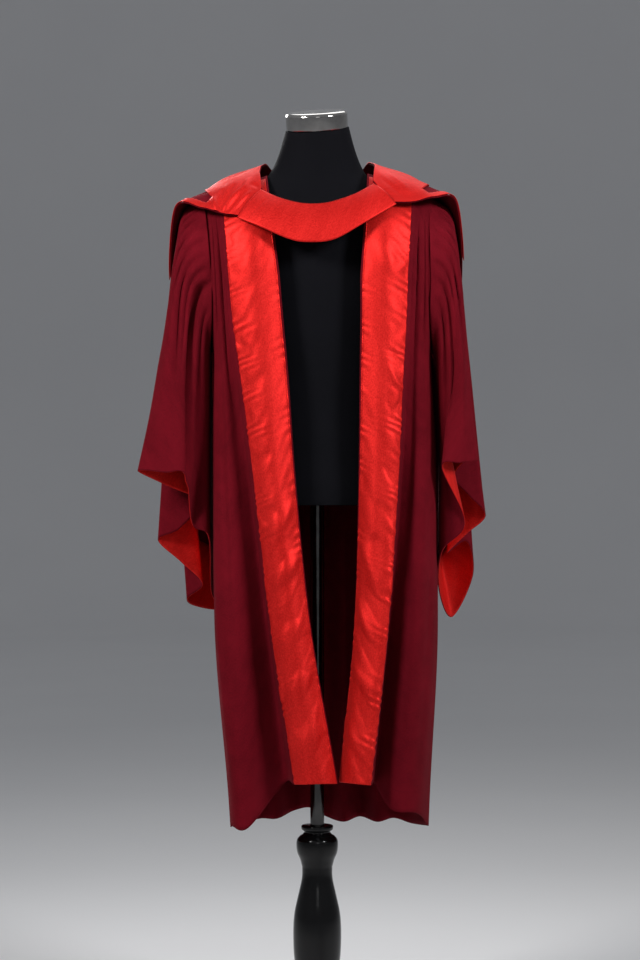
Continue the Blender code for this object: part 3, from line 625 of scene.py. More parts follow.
SLEEVE_CREASES_RIGHT = (
    (1.30, 0.03, 1.20, 0.70, 0.16, -5.0), (2.62, 0.03, 2.50, 0.50, 0.13, -4.8),
    (3.35, 0.30, 3.40, 0.92, 0.30, 4.0), (4.60, 0.40, 4.70, 0.95, 0.24, 3.4),
    (5.10, 0.45, 5.20, 0.98, 0.22, -3.4), (7.40, 0.40, 7.50, 0.95, 0.26, 3.2),
    (8.50, 0.45, 8.60, 0.96, 0.24, -3.2), (11.30, 0.42, 11.40, 0.95, 0.26, 3.2),
    (12.60, 0.40, 12.50, 0.92, 0.26, -3.4),
)
GATHERS_LEFT = (
    (2.20, 2.30, 0.74, 0.15, 5.0), (2.85, 2.80, 0.36, 0.12, 3.6), (3.45, 3.40, 0.55, 0.14, 4.0),
    (3.95, 4.00, 0.28, 0.12, 3.2), (4.50, 4.45, 0.44, 0.13, 3.6), (5.10, 5.15, 0.26, 0.11, 2.8),
    (5.65, 5.60, 0.38, 0.12, 3.4), (6.20, 6.25, 0.24, 0.11, 2.8), (6.80, 6.75, 0.42, 0.13, 3.6),
    (7.40, 7.35, 0.28, 0.11, 2.8), (7.95, 8.00, 0.40, 0.12, 3.4), (8.55, 8.60, 0.24, 0.11, 2.8),
    (9.15, 9.10, 0.46, 0.13, 3.6), (9.75, 9.80, 0.28, 0.11, 3.0), (10.35, 10.30, 0.40, 0.13, 3.4),
    (11.00, 11.00, 0.30, 0.12, 3.0), (11.70, 11.80, 0.48, 0.14, 3.6), (12.40, 12.30, 0.34, 0.12, 3.2),
)
SLEEVE_CREASES_LEFT = (
    (1.55, 0.06, 1.60, 0.62, 0.16, -4.4), (3.15, 0.30, 3.10, 0.94, 0.28, 3.6),
    (4.20, 0.38, 4.30, 0.96, 0.24, -3.6), (5.30, 0.42, 5.20, 0.95, 0.24, 3.0),
    (7.60, 0.40, 7.70, 0.95, 0.26, 3.2), (8.60, 0.44, 8.50, 0.96, 0.24, -3.2),
    (11.40, 0.42, 11.30, 0.95, 0.26, 3.2), (12.70, 0.40, 12.60, 0.92, 0.26, -3.4),
)

# %% Sleeves
# The knee of a fold line is lower than the armhole by a fixed step, by a share of its reach and
# by a share of the whole drop. Two more places follow at shares of the drop.
KNEE_STEP = 0.012
KNEE_REACH_SHARE = 0.42
KNEE_DROP_SHARE = 0.04
KNEE_PULL = 0.95
MIDDLE_DROP = 0.48
LOW_DROP = 0.76
LOW_FLARE = 0.48
LOW_TURN = 0.75


def sleeve_relief(lines, down, gathers, creases):
    """How far a sleeve's cloth stands out at each place, from its two tables."""
    rows = [(head, GATHER_START, end, part, width, -depth * MM) for head, end, part, width, depth in gathers]
    rows += [row[:5] + (row[5] * MM,) for row in creases]
    return RELIEF_SCALE * creased(lines, down, rows)


def sleeve_grid(table, side, down, per_line):
    """The surface of an open sleeve, row 0 at the armhole and the last row at the hem."""
    rails = []
    for number, row in enumerate(table):
        head_y, head_z, knee_x, mid_x, hem_x, hem_y, hem_z = (value * MM for value in row)
        rise = min(max((head_z - ARMHOLE_RISE[0]) / ARMHOLE_RISE[1], 0), 1)
        head_x = ARMHOLE_X[0] + (ARMHOLE_X[1] - ARMHOLE_X[0]) * rise
        if side > 0:
            head_x += ARMHOLE_LEFT_SHIFT * (1 - rise)
        if number < len(LAP_SHARES):
            head_x -= HEAD_LAP[side] * LAP_SHARES[number]
        reach = abs(knee_x - head_x)
        drop = head_z - hem_z
        knee_z = head_z - KNEE_STEP - KNEE_REACH_SHARE * reach - KNEE_DROP_SHARE * drop
        knee = (knee_x, head_y * KNEE_PULL, knee_z)
        mid = (mid_x, 0.5 * (head_y + hem_y), head_z - MIDDLE_DROP * drop)
        low = (mid_x + (hem_x - mid_x) * LOW_FLARE, (1 - LOW_TURN) * head_y + LOW_TURN * hem_y,
               head_z - LOW_DROP * drop)
        rail = np.array(((head_x, head_y, head_z), knee, mid, low, (hem_x, hem_y, hem_z)))
        rail[:, 0] *= side
        rails.append(through(range(5), rail, down * 4))
    columns = np.stack(rails, axis=1)
    samples = np.arange(0, len(table), 1 / per_line)
    return np.stack([through_loop(row, samples) for row in columns]), samples


for side, table, gathers, creases, sign in (
        ("right", SLEEVE_RIGHT, GATHERS_RIGHT, SLEEVE_CREASES_RIGHT, -1),
        ("left", SLEEVE_LEFT, GATHERS_LEFT, SLEEVE_CREASES_LEFT, 1)):
    down = np.linspace(0, 1, SLEEVE_ROWS)
    grid, line_samples = sleeve_grid(table, sign, down, SLEEVE_STEP)
    outwards = -sign
    normals = grid_normals(grid, True) * outwards
    line_number = np.broadcast_to(line_samples, grid.shape[:2]) * 1.0
    way_down = np.broadcast_to(down[:, None], grid.shape[:2]) * 1.0
    grid = grid + normals * sleeve_relief(line_number, way_down, gathers, creases)[:, :, None]
    normals = grid_normals(grid, True) * outwards
    sleeve = sheet_mesh("sleeve_cloth_" + side, grid, normals, 0, CLOTH, loop=True)
    halves = ["sleeve_" + side + "_front", "sleeve_" + side + "_back"]
    declare(sleeve, halves, ["front_panel_" + side, "back_panel"])
    first = int(LINING_START * (SLEEVE_ROWS - 1))
    lining = sheet_mesh("sleeve_satin_" + side, grid, normals, -SATIN - SEAM_GAP, -SEAM_GAP,
                        loop=True, rows=(first, SLEEVE_ROWS - 1))
    declare(lining, ["sleeve_lining_" + side],
            ["sleeve_cloth_" + side])

# %% [markdown]
# ## The dress form
# The form is a padded bust in black jersey, without arms or head. A filled circle is the bottom,
# and each further ring is an extrusion that is moved up, scaled to its width and depth and, in
# the neck, tilted forward and rolled to the right. A subdivision surface rounds it, and short
# steps at both ends keep the lower edge and the top's rim crisp.

# %% Dress form
# Height, half width, half depth, then forward tilt and roll to the right in degrees of each ring
TORSO = (
    (0.955, 0.146, 0.104, 0, 0), (0.975, 0.152, 0.106, 0, 0), (1.06, 0.142, 0.100, 0, 0),
    (1.15, 0.136, 0.098, 0, 0), (1.28, 0.158, 0.106, 0, 0), (1.38, 0.168, 0.102, 0, 0),
    (1.44, 0.174, 0.092, 0, 0), (1.478, 0.170, 0.080, 0, 0), (1.50, 0.1515, 0.073, 0, 0),
    (1.52, 0.1208, 0.067, 0, 0), (1.54, 0.0934, 0.062, 0, 0), (1.56, 0.080, 0.059, 3, 1),
    (1.59, 0.068, 0.056, 7, 2), (1.628, 0.0582, 0.0548, 13, 3.4), (1.6312, 0.0576, 0.0545, 13, 3.4),
    (1.6319, 0.0570, 0.0541, 13, 3.4), (1.632, 0.0540, 0.0510, 13, 3.4),
)
TORSO_EDGE = 0.002


def nothing_selected():
    """Leave edit mode and deselect everything."""
    if bpy.context.mode != "OBJECT":
        bpy.ops.object.mode_set(mode="OBJECT")
    bpy.ops.object.select_all(action="DESELECT")


def finish_piece(piece, nodes):
    """Put a modelled piece's place into its mesh and tell the frame what it stands for."""
    nothing_selected()
    piece.select_set(True)
    bpy.context.view_layer.objects.active = piece
    bpy.ops.object.transform_apply(location=True, rotation=True, scale=True)
    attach(piece, "root")
    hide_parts(*nodes)
    print(piece.name, len(piece.data.polygons), "faces")


nothing_selected()
bpy.ops.mesh.primitive_circle_add(vertices=40, radius=1, fill_type="NGON")
torso = bpy.context.object
torso.name = "jersey_form"
bpy.ops.object.mode_set(mode="EDIT")
level, foot_width, foot_depth = TORSO[0][:3]
width, depth = foot_width - TORSO_EDGE, foot_depth - TORSO_EDGE
bpy.ops.transform.resize(value=(width, depth, 1))
bpy.ops.transform.translate(value=(0, 0, level))
# Two rings close together turn the lower edge crisply
rings = [(level + 0.0004, foot_width - 0.0004, foot_depth - 0.0004, 0, 0),
         (level + TORSO_EDGE, foot_width + 0.0006, foot_depth + 0.0002, 0, 0)]
rings += list(TORSO[1:])
lean, sway = 0, 0
for height, half_width, half_depth, tilt, roll in rings:
    bpy.ops.mesh.extrude_region_move(TRANSFORM_OT_translate={"value": (0, 0, height - level)})
    bpy.ops.transform.resize(value=(half_width / width, half_depth / depth, 1),
                             center_override=(0, 0, height))
    for axis, turn in (("X", lean - tilt), ("Y", roll - sway)):
        if turn:
            bpy.ops.transform.rotate(value=math.radians(turn), orient_axis=axis,
                                     center_override=(0, 0, height))
    width, depth, level, lean, sway = half_width, half_depth, height, tilt, roll
bpy.ops.object.mode_set(mode="OBJECT")
rounding = torso.modifiers.new("rounding", "SUBSURF")
rounding.levels = rounding.render_levels = 2
bpy.ops.object.modifier_apply(modifier="rounding")
bpy.ops.object.shade_smooth()
finish_piece(torso, ["form_torso"])

# %% [markdown]
# ## Turned pieces
# The neck cap, the tube and the stand are all turned on a lathe, so each is a profile spun
# round the upright axis. The profile starts as one vertex, which is extruded from place to
# place. A smooth curve through the drawn places gives the column its full swells, and doubled
# places keep its fillets sharp.

# %% Turned pieces
CAP_PROFILE = ((0, 0), (54.4, 0), (55, 0.2), (55.3, 0.6), (55.6, 1.6), (55.6, 23.6), (55.5, 25), (55, 26.2),
               (54, 27.6), (52.4, 28.9), (50, 29.8), (46, 30.4), (30, 31.2), (0, 31.5))
CAP_TILT = 13
CAP_ROLL = 3.4
CAP_GAP = 0.0006
STEM_RADIUS = 12.5
STEM_FOOT = 379.3
STEM_TOP = 954.7
COLUMN_LOWER = ((30, 40.3), (30, 58), (26, 66), (29, 90), (37, 118), (41.5, 140), (43.2, 170), (43.2, 196),
                (41, 222), (35, 250), (29, 276), (27.2, 290), (27.4, 305))
COLUMN_UPPER = ((28.4, 308.5), (31, 318), (36, 330), (37.6, 344), (36, 354), (30.5, 360.5))
COLUMN_NECK = ((27, 362), (24, 366), (24.2, 368.4), (27.4, 370.6), (28.6, 373), (28.8, 376), (28.2, 378.2),
               (26.8, 379))
FOOT_LOWER = ((188, 0), (193, 2.4), (194, 6), (192.8, 11), (190, 14))
FOOT_UPPER = ((187, 15.2), (176, 18), (150, 22), (112, 27), (84, 31))
FOOT_NECK = ((82, 32), (68, 32.6), (60, 34), (54, 37), (52, 39.4), (50, 40))
TURN_STEPS = 96


def smooth_profile(places, samples):
    """A finer profile along a smooth curve through the drawn places."""
    places = np.array(places, float)
    return [tuple(place) for place in through(range(len(places)), places,
                                              np.linspace(0, len(places) - 1, samples))]


def spun(name, profile, tilt=0.0, roll=0.0, base=(0, 0, 0)):
    """A profile of radius and height in mm, extruded place by place and spun round the axis."""
    nothing_selected()
    bpy.ops.mesh.primitive_plane_add(size=0.002)
    made = bpy.context.object
    made.name = name
    bpy.ops.object.mode_set(mode="EDIT")
    bpy.ops.mesh.merge(type="CENTER")
    bpy.ops.transform.translate(value=(profile[0][0] * MM, 0, profile[0][1] * MM))
    for (radius, height), (wider, higher) in zip(profile, profile[1:]):
        step = ((wider - radius) * MM, 0, (higher - height) * MM)
        bpy.ops.mesh.extrude_region_move(TRANSFORM_OT_translate={"value": step})
    bpy.ops.mesh.select_all(action="SELECT")
    bpy.ops.mesh.spin(steps=TURN_STEPS, angle=2 * math.pi, center=(0, 0, 0), axis=(0, 0, 1))
    bpy.ops.mesh.select_all(action="SELECT")
    bpy.ops.mesh.remove_doubles(threshold=0.00001)
    bpy.ops.mesh.normals_make_consistent(inside=False)
    bpy.ops.transform.rotate(value=math.radians(-tilt), orient_axis="X", center_override=(0, 0, 0))
    bpy.ops.transform.rotate(value=math.radians(roll), orient_axis="Y", center_override=(0, 0, 0))
    bpy.ops.transform.translate(value=base)
    bpy.ops.object.mode_set(mode="OBJECT")
    bpy.ops.object.shade_smooth_by_angle(angle=math.radians(38))
    return made


cap = spun("chrome_cap", CAP_PROFILE, CAP_TILT, CAP_ROLL, (0, 0, TORSO[-1][0] + CAP_GAP))
finish_piece(cap, ["form_neck_cap"])
stem_profile = ((0, STEM_FOOT), (STEM_RADIUS, STEM_FOOT), (STEM_RADIUS, STEM_TOP), (0, STEM_TOP))
stem = spun("chrome_stem", stem_profile)
finish_piece(stem, ["form_pole"])
column_profile = [(0, 40.3)] + smooth_profile(COLUMN_LOWER, 70) + smooth_profile(COLUMN_UPPER, 28)
column_profile += smooth_profile(COLUMN_NECK, 24) + [(13.2, 379), (0, 379)]
column = spun("turned_column", column_profile)
finish_piece(column, ["stand_column"])
foot_profile = [(0, 0)] + smooth_profile(FOOT_LOWER, 16) + smooth_profile(FOOT_UPPER, 20)
foot_profile += smooth_profile(FOOT_NECK, 16) + [(0, 40)]
foot = spun("turned_foot", foot_profile)
finish_piece(foot, ["stand_base"])

# %% [markdown]
# ## The hood
# The hood is a cape that goes over both shoulders and down to a point at the back. Its sections
# run from the neck outwards. Each point is first moved out until it lies clear of the gown and
# the form, and then the lift is spread out softly, as stiff cloth bridges what lies under it.

# %% Hood sections
# One row for each section across the hood, from the front seam over the shoulder to the
# middle of the back, with its inner, middle and outer points (x, y, z) in mm
HOOD_RIGHT = (
    ((-97, -80, 1514), (-116, -98, 1490), (-138, -112, 1463)),
    ((-101, -46, 1541), (-140, -84, 1505), (-168, -104, 1468)),
    ((-102, -14, 1553), (-155, -54, 1524), (-203, -88, 1479)),
    ((-98, 24, 1566), (-182, 0, 1526), (-250, -48, 1482)),
    ((-86, 58, 1568), (-190, 46, 1516), (-248, 6, 1352)),
    ((-62, 92, 1522), (-168, 112, 1420), (-236, 128, 1220)),
    ((-34, 142, 1360), (-96, 168, 1250), (-130, 190, 1070)),
    ((0, 168, 1190), (0, 186, 1110), (0, 200, 1010)),
)
HOOD_LEFT = (
    ((98, -80, 1527), (116, -98, 1506), (136, -112, 1486)),
    ((101, -46, 1552), (140, -84, 1520), (170, -104, 1488)),
    ((102, -14, 1562), (155, -50, 1536), (207, -86, 1498)),
    ((98, 24, 1570), (182, 0, 1534), (246, -48, 1493)),
    ((86, 58, 1570), (188, 46, 1522), (245, 6, 1376)),
)
# Down the back the hood is the same on both sides
HOOD_LEFT += tuple(tuple((-x, y, z) for x, y, z in section) for section in HOOD_RIGHT[5:])
# How much of each section's width the satin covers, then the sections at each front end that it
# covers whole, and how far the rim at the arms reaches
TURNOUT_EDGE = (0.80, 0.80, 0.80, 0.62, 0.48, 0.37, 0.34, 0.34)
TURNOUT_FRONT_SECTION = 2
RIM_SECTION = 4
RIM_WIDTH = 0.09
HOOD_MARGIN = 0.0012
HOOD_ROUNDS = 60
SUNK_DEPTH = 0.030
FINE_STEP = 14
TURNOUT_ROWS = 36
CAPE_ROWS = 26

# %% Laying cloth over cloth


def hood_grid(per_section, inside_rows, outside_rows):
    """The hood's surface, from the right front seam round the back to the left one."""
    rows = np.array(HOOD_RIGHT + tuple(reversed(HOOD_LEFT[:-1])), float) * MM
    last = len(rows) - 1
    along = np.linspace(0, last, per_section * last + 1)
    rails = [through(range(len(rows)), rows[:, column], along) for column in range(3)]
    mirrored = np.array(TURNOUT_EDGE + tuple(reversed(TURNOUT_EDGE[:-1])))
    edges = through(range(len(rows)), mirrored, along)
    sections = []
    parts = []
    for index, edge in enumerate(edges):
        inside = np.linspace(0, edge, inside_rows + 1)
        outside = np.linspace(edge, 1, outside_rows + 1)[1:]
        part = np.concatenate((inside, outside))
        sections.append(through(range(3), np.stack([rail[index] for rail in rails]), 2 * part))
        parts.append(part)
    return np.stack(sections, axis=1), along, np.stack(parts, axis=1)


def tree_of(piece):
    """The search tree of one piece's faces."""
    shape = bmesh.new()
    shape.from_mesh(piece.data)
    tree = BVHTree.FromBMesh(shape)
    shape.free()
    return tree


def four_beside(values):
    """The sum of the four values beside each one in a grid."""
    edged = np.pad(values, 1, mode="edge")
    return edged[:-2, 1:-1] + edged[2:, 1:-1] + edged[1:-1, :-2] + edged[1:-1, 2:]


def softened(lift, rounds):
    """Spread a lift to its surroundings without lowering it where it is needed."""
    spread = lift.copy()
    for _ in range(rounds):
        spread = np.maximum(lift, four_beside(spread) / 4)
    for _ in range(4):
        spread = (2 * spread + four_beside(spread)) / 6
    return spread


def laid_over(grid, under, margin, outwards, rounds):
    """Move a grid out until it lies clear of what is under it, softly."""
    trees = [tree_of(piece) for piece in under]
    lift = np.zeros(grid.shape[:2])
    directions = np.empty_like(grid)
    for index in np.ndindex(grid.shape[:2]):
        place = grid[index]
        direction = outwards(place)
        directions[index] = direction
        for tree in trees:
            hit = tree.ray_cast(place + direction * SUNK_DEPTH, -direction, SUNK_DEPTH + margin)[0]
            if hit is not None:
                lift[index] = max(lift[index], float((np.array(hit) - place) @ direction) + margin)
    return grid + directions * softened(lift, rounds)[:, :, None]


def away_from_neck(place):
    """The direction out of the shoulders at a place."""
    middle = np.array((0.55 * place[0], 0.0, min(place[2] - 0.06, 1.42)))
    direction = place - middle
    return direction / np.linalg.norm(direction)


cloth_below = [torso] + [made_sheets[name] for name in (
    "front_panel_right", "front_panel_left", "satin_facing_right", "satin_facing_left", "back_panel",
    "sleeve_cloth_right", "sleeve_cloth_left")]
grid, section_number, part_across = hood_grid(FINE_STEP, TURNOUT_ROWS, CAPE_ROWS)
grid = laid_over(grid, cloth_below, HOOD_MARGIN, away_from_neck, HOOD_ROUNDS)
print("hood grid", grid.shape[:2])

# %% [markdown]
# ## Cape and turned-out satin
# The claret cape is the hood's outside. Its satin lining is turned out over the shoulders and
# along the back opening, and shows as a thin rim at the arms. On the right shoulder the satin is
# pulled by the seam of the neckband, so it lies in small radiating creases, while the left
# shoulder is nearly smooth.

# %% Cape and satin
# Creases: section number and part across at start and end, then width in metres and height
SECTION_LENGTH = 0.045
SECTION_WIDTH = 0.125
CAPE_CREASES = (
    (3.9, 0.55, 4.3, 1.00, 0.010, 0.0024), (4.6, 0.45, 4.9, 1.00, 0.011, -0.0026),
    (5.4, 0.50, 5.6, 1.00, 0.010, 0.0024), (6.2, 0.45, 6.2, 1.00, 0.012, -0.0026),
    (7.0, 0.40, 7.0, 1.00, 0.011, 0.0022), (7.8, 0.45, 7.9, 1.00, 0.012, -0.0026),
    (8.6, 0.50, 8.5, 1.00, 0.010, 0.0024), (9.4, 0.45, 9.2, 1.00, 0.011, -0.0026),
    (10.1, 0.55, 9.7, 1.00, 0.010, 0.0024),
)
SATIN_CREASES = (
    (0.42, 0.30, 0.50, 1.02, 0.0045, 0.0026), (0.72, 0.42, 0.70, 1.02, 0.0040, -0.0022),
    (1.02, 0.30, 1.00, 1.02, 0.0050, 0.0026), (1.95, 0.62, 0.95, 1.00, 0.0042, -0.0026),
    (1.98, 0.78, 1.10, 1.04, 0.0040, 0.0028), (1.70, 0.44, 1.05, 0.86, 0.0050, -0.0020),
    (1.50, 0.20, 0.60, 0.40, 0.0060, 0.0014), (2.10, 0.30, 2.80, 0.62, 0.0090, 0.0014),
    (0.20, 0.10, 0.90, 0.24, 0.0050, -0.0012),
    (4.2, 0.05, 4.6, 0.45, 0.0080, 0.0018), (5.0, 0.04, 5.3, 0.34, 0.0090, -0.0018),
    (5.9, 0.03, 6.1, 0.30, 0.0080, 0.0018), (8.1, 0.03, 7.9, 0.30, 0.0090, -0.0018),
    (8.9, 0.04, 8.7, 0.34, 0.0080, 0.0018), (9.8, 0.05, 9.4, 0.45, 0.0090, -0.0016),
    (12.6, 0.25, 12.9, 0.85, 0.0100, 0.0012), (13.4, 0.15, 13.3, 0.95, 0.0080, -0.0010),
)


def hood_relief(rows):
    """The creases of the hood, with sections and widths turned into metres."""
    scaled = [(a * SECTION_LENGTH, b * SECTION_WIDTH, c * SECTION_LENGTH, d * SECTION_WIDTH, width, height)
              for a, b, c, d, width, height in rows]
    along = np.broadcast_to(section_number, grid.shape[:2]) * SECTION_LENGTH
    return creased(along, part_across * SECTION_WIDTH, scaled)


cape_relief = hood_relief(CAPE_CREASES)
cape_grid = grid + grid_normals(grid) * np.maximum(cape_relief, 0)[:, :, None]
cape = sheet_mesh("hood_cloth", cape_grid, grid_normals(cape_grid), 0, CLOTH)
declare(cape, ["hood_cape_right", "hood_cape_left"],
        ["sleeve_cloth_right", "sleeve_cloth_left"])

last_section = section_number[-1]


def on_turnout(rows, columns):
    """Whether a cell of the hood's grid is covered by satin."""
    section = section_number[columns]
    from_seam = np.minimum(section, last_section - section)
    front = from_seam < TURNOUT_FRONT_SECTION
    rim = (from_seam < RIM_SECTION) & (part_across[rows, columns] > 1 - RIM_WIDTH)
    return front | rim | (rows < TURNOUT_ROWS)


# The satin's creases are made this many times as high, and the whole is lifted clear of the cape
SATIN_SCALE = 1.7
SATIN_LIFT = 0.0019
SATIN_DEEPEST = 0.0018
SATIN_AIR = 0.0003
satin_relief_depth = np.maximum(SATIN_SCALE * hood_relief(SATIN_CREASES), -SATIN_DEEPEST) + SATIN_LIFT
satin_grid = cape_grid + grid_normals(cape_grid) * (CLOTH + SATIN_AIR + satin_relief_depth)[:, :, None]
turnout = sheet_mesh("hood_satin", satin_grid, grid_normals(satin_grid), 0, SATIN, keep=on_turnout)
declare(turnout, ["hood_turnout"], ["hood_cloth"])

# %% [markdown]
# ## The neckband
# The satin band across the front joins the two halves of the hood with a stitched seam at each
# end. It hangs in one smooth curve, a little proud of the facings and the form.

# %% Neckband
# Upper and lower edge (x, y, z) in mm, from the right seam to the left
NECKBAND = (
    ((-100, -84, 1514), (-141, -118, 1460)),
    ((-66, -104, 1497), (-104, -138, 1444)),
    ((-26, -116, 1486), (-50, -150, 1420)),
    ((12, -118, 1486), (-16, -154, 1414)),
    ((42, -112, 1494), (30, -152, 1419)),
    ((70, -100, 1506), (84, -138, 1450)),
    ((100, -84, 1524), (139, -118, 1484)),
)
BAND_CREASES = (
    (0.45, 0.05, 0.62, 0.80, 0.055, 0.0016), (0.95, 0.10, 1.00, 0.60, 0.060, -0.0010),
    (3.05, 0.10, 3.10, 0.85, 0.120, 0.0008), (4.60, 0.30, 4.75, 0.95, 0.110, 0.0010),
    (1.90, 0.15, 2.00, 0.70, 0.120, -0.0008),
)
BAND_MARGIN = 0.0008
BAND_ROUNDS = 40
BAND_BULGE = (0, -0.006, 0.004)
BAND_STEP = 16
BAND_ROWS = 22
DEEPEST_BAND_CREASE = 0.0005
edges = np.array(NECKBAND, float) * MM
along = np.linspace(0, len(edges) - 1, BAND_STEP * (len(edges) - 1) + 1)
upper = through(range(len(edges)), edges[:, 0], along)
lower = through(range(len(edges)), edges[:, 1], along)
parts = np.linspace(0, 1, BAND_ROWS)
bulge = np.sin(math.pi * parts)[:, None, None] * np.array(BAND_BULGE)
band_grid = lower + (upper - lower) * parts[:, None, None] + bulge
forwards = np.array((0, -1.0, 0.0))
below_band = cloth_below + [cape, turnout]
band_grid = laid_over(band_grid, below_band, BAND_MARGIN, lambda place: forwards, BAND_ROUNDS)
shape = np.broadcast_to(along, band_grid.shape[:2]) * 1.0
up_band = np.broadcast_to(parts[:, None], band_grid.shape[:2]) * 1.0
band_relief = creased(shape, up_band, BAND_CREASES)
band_normals = -grid_normals(band_grid)
band_grid = band_grid + band_normals * np.maximum(band_relief, -DEEPEST_BAND_CREASE)[:, :, None]
neckband = sheet_mesh("neckband_satin", band_grid, -grid_normals(band_grid), 0, SATIN)
declare(neckband, ["hood_neckband"], ["hood_satin"])

# %% [markdown]
# ## Writing materials as sums
# A procedural pattern is arithmetic on coordinates. The class below wraps one socket of the
# node tree, so that Python's own operators add the Math nodes, and a pattern reads like the
# formula that it is.

# %% Socket arithmetic


class Wire:
    """One value in a material, with Python's operators for Math nodes."""

    def __init__(self, recipe, socket):
        self.recipe = recipe
        self.socket = socket

    def math(self, operation, *others):
        """A Math node on this value and others."""
        return self.recipe.add("ShaderNodeMath", {"operation": operation}, (self,) + others)

    def __add__(self, other):
        return self.math("ADD", other)

    __radd__ = __add__

    def __sub__(self, other):
        return self.math("SUBTRACT", other)

    def __rsub__(self, other):
        return self.recipe.add("ShaderNodeMath", {"operation": "SUBTRACT"}, (other, self))

    def __mul__(self, other):
        return self.math("MULTIPLY", other)

    __rmul__ = __mul__

    def wave(self):
        """The sine of this value."""
        return self.math("SINE")

    def within(self, low, high):
        """0 at low, 1 at high, with a soft rise between."""
        settings = {"interpolation_type": "SMOOTHSTEP"}
        inputs = {"Value": self, "From Min": low, "From Max": high}
        return self.recipe.add("ShaderNodeMapRange", settings, inputs)


class Recipe:
    """A material's node tree, built one node at a time."""

    def __init__(self, name):
        self.material = bpy.data.materials.new(name)
        self.material.use_nodes = True
        self.tree = self.material.node_tree
        self.shader = self.tree.nodes["Principled BSDF"]

    def link(self, value, socket):
        """Put a number, colour or wire into a socket."""
        if isinstance(value, Wire):
            self.tree.links.new(value.socket, socket)
        else:
            socket.default_value = value

    def add(self, kind, settings=None, inputs=(), output=0):
        """A new node with its settings and inputs, and the wire of one of its outputs."""
        node = self.tree.nodes.new(kind)
        for setting, value in (settings or {}).items():
            setattr(node, setting, value)
        pairs = inputs.items() if isinstance(inputs, dict) else enumerate(inputs)
        for key, value in pairs:
            self.link(value, node.inputs[key])
        return Wire(self, node.outputs[output])

    def place(self, scale=(1, 1, 1)):
        """Places on the cloth in metres, stretched."""
        flat = self.add("ShaderNodeUVMap", {"uv_map": "cloth"})
        return self.add("ShaderNodeMapping", None, {"Vector": flat, "Scale": scale})

    def body_place(self, scale=(1, 1, 1)):
        """Places on a hard piece in metres."""
        solid = self.add("ShaderNodeTexCoord", None, (), 3)
        return self.add("ShaderNodeMapping", None, {"Vector": solid, "Scale": scale})

    def parts(self, vector):
        """The three numbers of a vector."""
        return [self.add("ShaderNodeSeparateXYZ", None, (vector,), number) for number in range(3)]

    def noise(self, vector, scale, detail=2.0, roughness=0.5):
        """Noise between 0 and 1."""
        settings = {"noise_dimensions": "3D"}
        inputs = {"Vector": vector, "Scale": scale, "Detail": detail, "Roughness": roughness}
        return self.add("ShaderNodeTexNoise", settings, inputs)

    def blend(self, share, first, second):
        """A mix of two colours."""
        node = self.tree.nodes.new("ShaderNodeMix")
        node.data_type = "RGBA"
        for socket, value in ((node.inputs[0], share), (node.inputs[6], first), (node.inputs[7], second)):
            self.link(value, socket)
        return Wire(self, node.outputs[2])

    def relief(self, height, distance, strength=1.0):
        """A bump on the surface."""
        inputs = {"Height": height, "Distance": distance, "Strength": strength}
        normal = self.add("ShaderNodeBump", None, inputs)
        self.link(normal, self.shader.inputs["Normal"])

    def finish(self, **values):
        """Set the shader's own sockets."""
        for name, value in values.items():
            self.link(value, self.shader.inputs[name.replace("_", " ")])
        return self.material


def rgb(red, green, blue):
    """A colour with full alpha."""
    return (red, green, blue, 1.0)


print("socket arithmetic is ready")

# %% [markdown]
# ## Claret cloth
# The gown is a matt, closely woven wool blend. Seen near to, its twill runs up at a slant, and
# each thread is a little lighter or darker than the next. Where it is handled, the nap lies the
# other way, so broad soft patches differ by a few parts in a hundred. A line of small stitches
# holds the hem.

# %% Claret cloth
TWILL_PITCH = 0.0011
STITCH_PITCH = 0.0042
TURN = 2 * math.pi


def stitches(recipe, from_edge, along, inset, width=0.0006):
    """A row of stitches along an edge: 1 on the thread, 0 off it."""
    line = 1 - (from_edge - inset).math("ABSOLUTE").within(width * 0.5, width)
    dash = (along * (TURN / STITCH_PITCH)).wave().within(-0.5, -0.1)
    return line * dash


def claret_cloth(name, hem_line=None):
    """Matt claret cloth, with a stitched line at a height above the hem."""
    recipe = Recipe(name)
    flat = recipe.place()
    across_cloth, up_cloth, _ = recipe.parts(flat)
    twill = ((across_cloth + 0.8 * up_cloth) * (TURN / TWILL_PITCH)).wave()
    ply = recipe.noise(recipe.place((900, 260, 1)), 1.0, 1.0)
    slub = recipe.noise(recipe.place((60, 1400, 1)), 1.0, 1.0)
    nap = recipe.noise(flat, 7.0, 3.0, 0.6)
    soft = recipe.noise(flat, 46.0, 2.0)
    grain = recipe.noise(recipe.place((380, 330, 1)), 1.0, 2.0, 0.6)
    shade = 0.34 * nap + 0.16 * soft + 0.16 * ply + 0.12 * slub + 0.22 * grain
    colour = recipe.blend(shade.within(0.34, 0.66), rgb(0.098, 0.0022, 0.0064), rgb(0.178, 0.0046, 0.0122))
    height = 0.30 * twill + 0.55 * ply + 0.35 * slub + 0.8 * soft
    if hem_line:
        thread = stitches(recipe, up_cloth, across_cloth, hem_line)
        colour = recipe.blend(0.45 * thread, colour, rgb(0.035, 0.002, 0.005))
        height = height - 1.4 * thread
    recipe.relief(height, 0.00022, 0.8)
    return recipe.finish(Base_Color=colour, Roughness=0.85 + 0.10 * ply, Specular_IOR_Level=0.06,
                         Sheen_Weight=0.04, Sheen_Roughness=0.4, Sheen_Tint=rgb(1.0, 0.12, 0.16))


panel_cloth = claret_cloth("claret_wool_hemmed", HEM_FOLD)
plain_cloth = claret_cloth("claret_wool")
print("claret cloth twill every", TWILL_PITCH * 1000, "mm")

# %% [markdown]
# ## Scarlet satin
# Satin is woven so that long threads float on its face. They lie along the cloth and catch the
# light in broad soft bands, coloured like the thread itself, and not as a white glint. A fine
# grain runs with the threads, and a lighter rolled edge and a seam line follow each long side.

